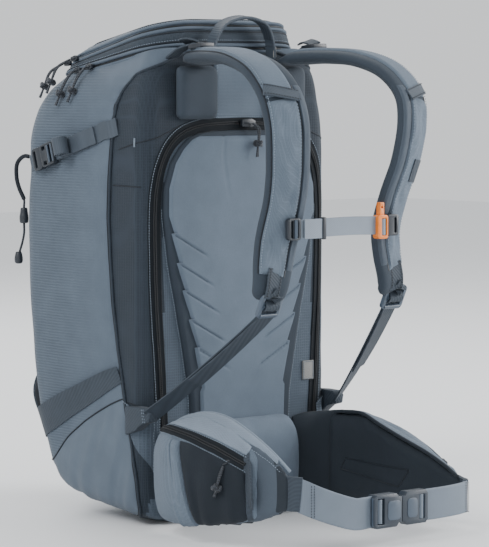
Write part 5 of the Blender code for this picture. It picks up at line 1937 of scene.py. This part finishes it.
def compression_buckle(side, start, along, out, up, axes):
    """The side-release buckle: a shell with two bars on the strap, and a clip with three prongs."""
    centre = start + along * 0.1125 + out * 0.0030
    windows = [rounded_box(0.0052, 0.0200, 0.001, -0.0062)]
    windows += [rounded_box(0.0060, 0.0045, 0.001, 0.0050, shift) for shift in (0.0085, -0.0085)]
    parts = [moulded("compression_shell_" + side, rounded_box(0.0235, 0.0255, 0.0035), 0.0080, centre, BLACK,
                     "bag", axes, windows, 0.0011)]
    for k, shift in enumerate((-0.0097, -0.0026)):
        ends = [centre + along * shift + out * 0.0034 + up * a for a in (-0.0102, 0.0102)]
        parts.append(tube(f"compression_bar_{side}_{k}", ends, 0.0015, SLATE, "bag", "black_plastic", 10))
    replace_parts(joined("compression_shell_" + side, parts), "compression_buckle_" + side)
    centre = start + along * 0.1325 + out * 0.0030
    body = "compression_clip_" + side
    parts = [moulded("compression_head_" + side, rounded_box(0.0160, 0.0255, 0.0035), 0.0070, centre, BLACK,
                     body, axes, [rounded_box(0.0040, 0.0195, 0.001, 0.0030)], 0.0011)]
    for k, shift in enumerate((-0.0068, 0.0, 0.0068)):
        outline = rounded_box(0.0140, 0.0032, 0.001, -0.0125, shift)
        parts.append(moulded(f"compression_prong_{side}_{k}", outline, 0.0032, centre, BLACK, body, axes,
                             bevel=0.0006))
    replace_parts(joined("compression_head_" + side, parts), body)
    hold = evenly([centre + along * 0.003 - out * 0.001, centre + along * 0.020 - out * 0.0030], 0.003)
    ribbon("compression_anchor_" + side, hold, STRAP_WEBBING * 0.95, up, GREY_WEBBING, body, 0.0018)


def front_loop():
    """The webbing loop low on the front corner."""
    loop = [(-0.112, 0.217, 0.158), (-0.117, 0.223, 0.150), (-0.119, 0.226, 0.132), (-0.117, 0.220, 0.112),
            (-0.112, 0.2095, 0.100)]
    made = ribbon("front_webbing_loop", placed(loop, 6), 0.0125, (1, 0.6, 0), BAND, "bag", 0.0021)
    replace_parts(made, "front_lower_loop")


def base_and_stay():
    """The reinforced base, and the stay's metal."""
    low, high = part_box("base_panel")
    middle = (low + high) / 2
    width, depth = high.x - low.x, high.y - low.y
    rings = []
    for z, inset in ((high.z, 0.0), (high.z - 0.001, 0.0), (low.z + 0.0014, 0.0005), (low.z + 0.0004, 0.0022),
                     (low.z, 0.0045)):
        outline = rounded_box(width - inset * 2, depth - inset * 2, 0.018, steps=8)
        rings.append([(middle.x + x, middle.y + y, z) for x, y in outline])
    made = skin("base_sole", rings, BASE, "bag", "dark_fabric")
    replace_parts(made, "base_panel")
    stay = bpy.data.objects["frame_stay"]
    stay.data.materials.clear()
    stay.data.materials.append(ALLOY)


# ---------------------------------------------------------------- stage


def stage():
    """The floor, the even studio light and three lamps."""
    mesh = bpy.data.meshes.new("floor")
    corners = [(6.0 * x, 6.0 * y, -0.0004) for x, y in ((-1, -1), (1, -1), (1, 1), (-1, 1))]
    mesh.from_pydata(corners, [], [(0, 1, 2, 3)])
    floor = bpy.data.objects.new("floor", mesh)
    bpy.context.scene.collection.objects.link(floor)
    mesh.materials.append(shader_of("floor", (0.86, 0.87, 0.88), 0.85)[0])
    world = bpy.data.worlds.new("studio")
    bpy.context.scene.world = world
    world.use_nodes = True
    world.node_tree.nodes["Background"].inputs["Color"].default_value = (0.96, 0.98, 1.0, 1)
    world.node_tree.nodes["Background"].inputs["Strength"].default_value = 0.95
    lights = (("key", (-2.6, -0.2, 2.2), 45, 1.4), ("side", (2.5, -1.6, 1.3), 95, 1.6),
              ("rim", (0.6, 2.6, 2.2), 40, 1.6))
    for name, place, power, size in lights:
        lamp = bpy.data.lights.new(name, "AREA")
        lamp.energy = power
        lamp.size = size
        holder = bpy.data.objects.new(name, lamp)
        bpy.context.scene.collection.objects.link(holder)
        holder.location = place
        holder.rotation_euler = (Vector((0, 0.1, 0.28)) - Vector(place)).to_track_quat("-Z", "Y").to_euler()


def camera():
    """The photo's camera: behind and beside the wearer's right, a little above the middle."""
    lens = bpy.data.cameras.new("camera")
    lens.sensor_width = 36
    lens.lens = 186.8
    lens.clip_start, lens.clip_end = 0.1, 50
    holder = bpy.data.objects.new("camera", lens)
    bpy.context.scene.collection.objects.link(holder)
    azimuth, elevation, distance = math.radians(-41), math.radians(4), 3.3
    level = math.cos(elevation)
    back = Vector((math.sin(azimuth) * level, -math.cos(azimuth) * level, math.sin(elevation)))
    holder.location = Vector((0.0562, 0.0738, 0.2713)) + back * distance
    holder.rotation_mode = "QUATERNION"
    holder.rotation_quaternion = (-back).to_track_quat("-Z", "Y")
    bpy.context.scene.camera = holder


camera()
stage()
half_grid, bag_surface = bag_body()
bag_trim(half_grid, bag_surface)
rear_zip(bag_surface)
lid_parts()
back_foam()
upper_back()
back_label()
cords()
shoulder_straps()
for side, sign in SIDES:
    strap_tab(side, sign)
lifters()
haul_strap()
sternum_strap()
right_wing()
left_wing()
for label, direction in SIDES:
    wing_root(label, direction)
    hip_webbing(label, direction)
hip_buckle()
compression()
front_loop()
base_and_stay()

bpy.context.view_layer.update()
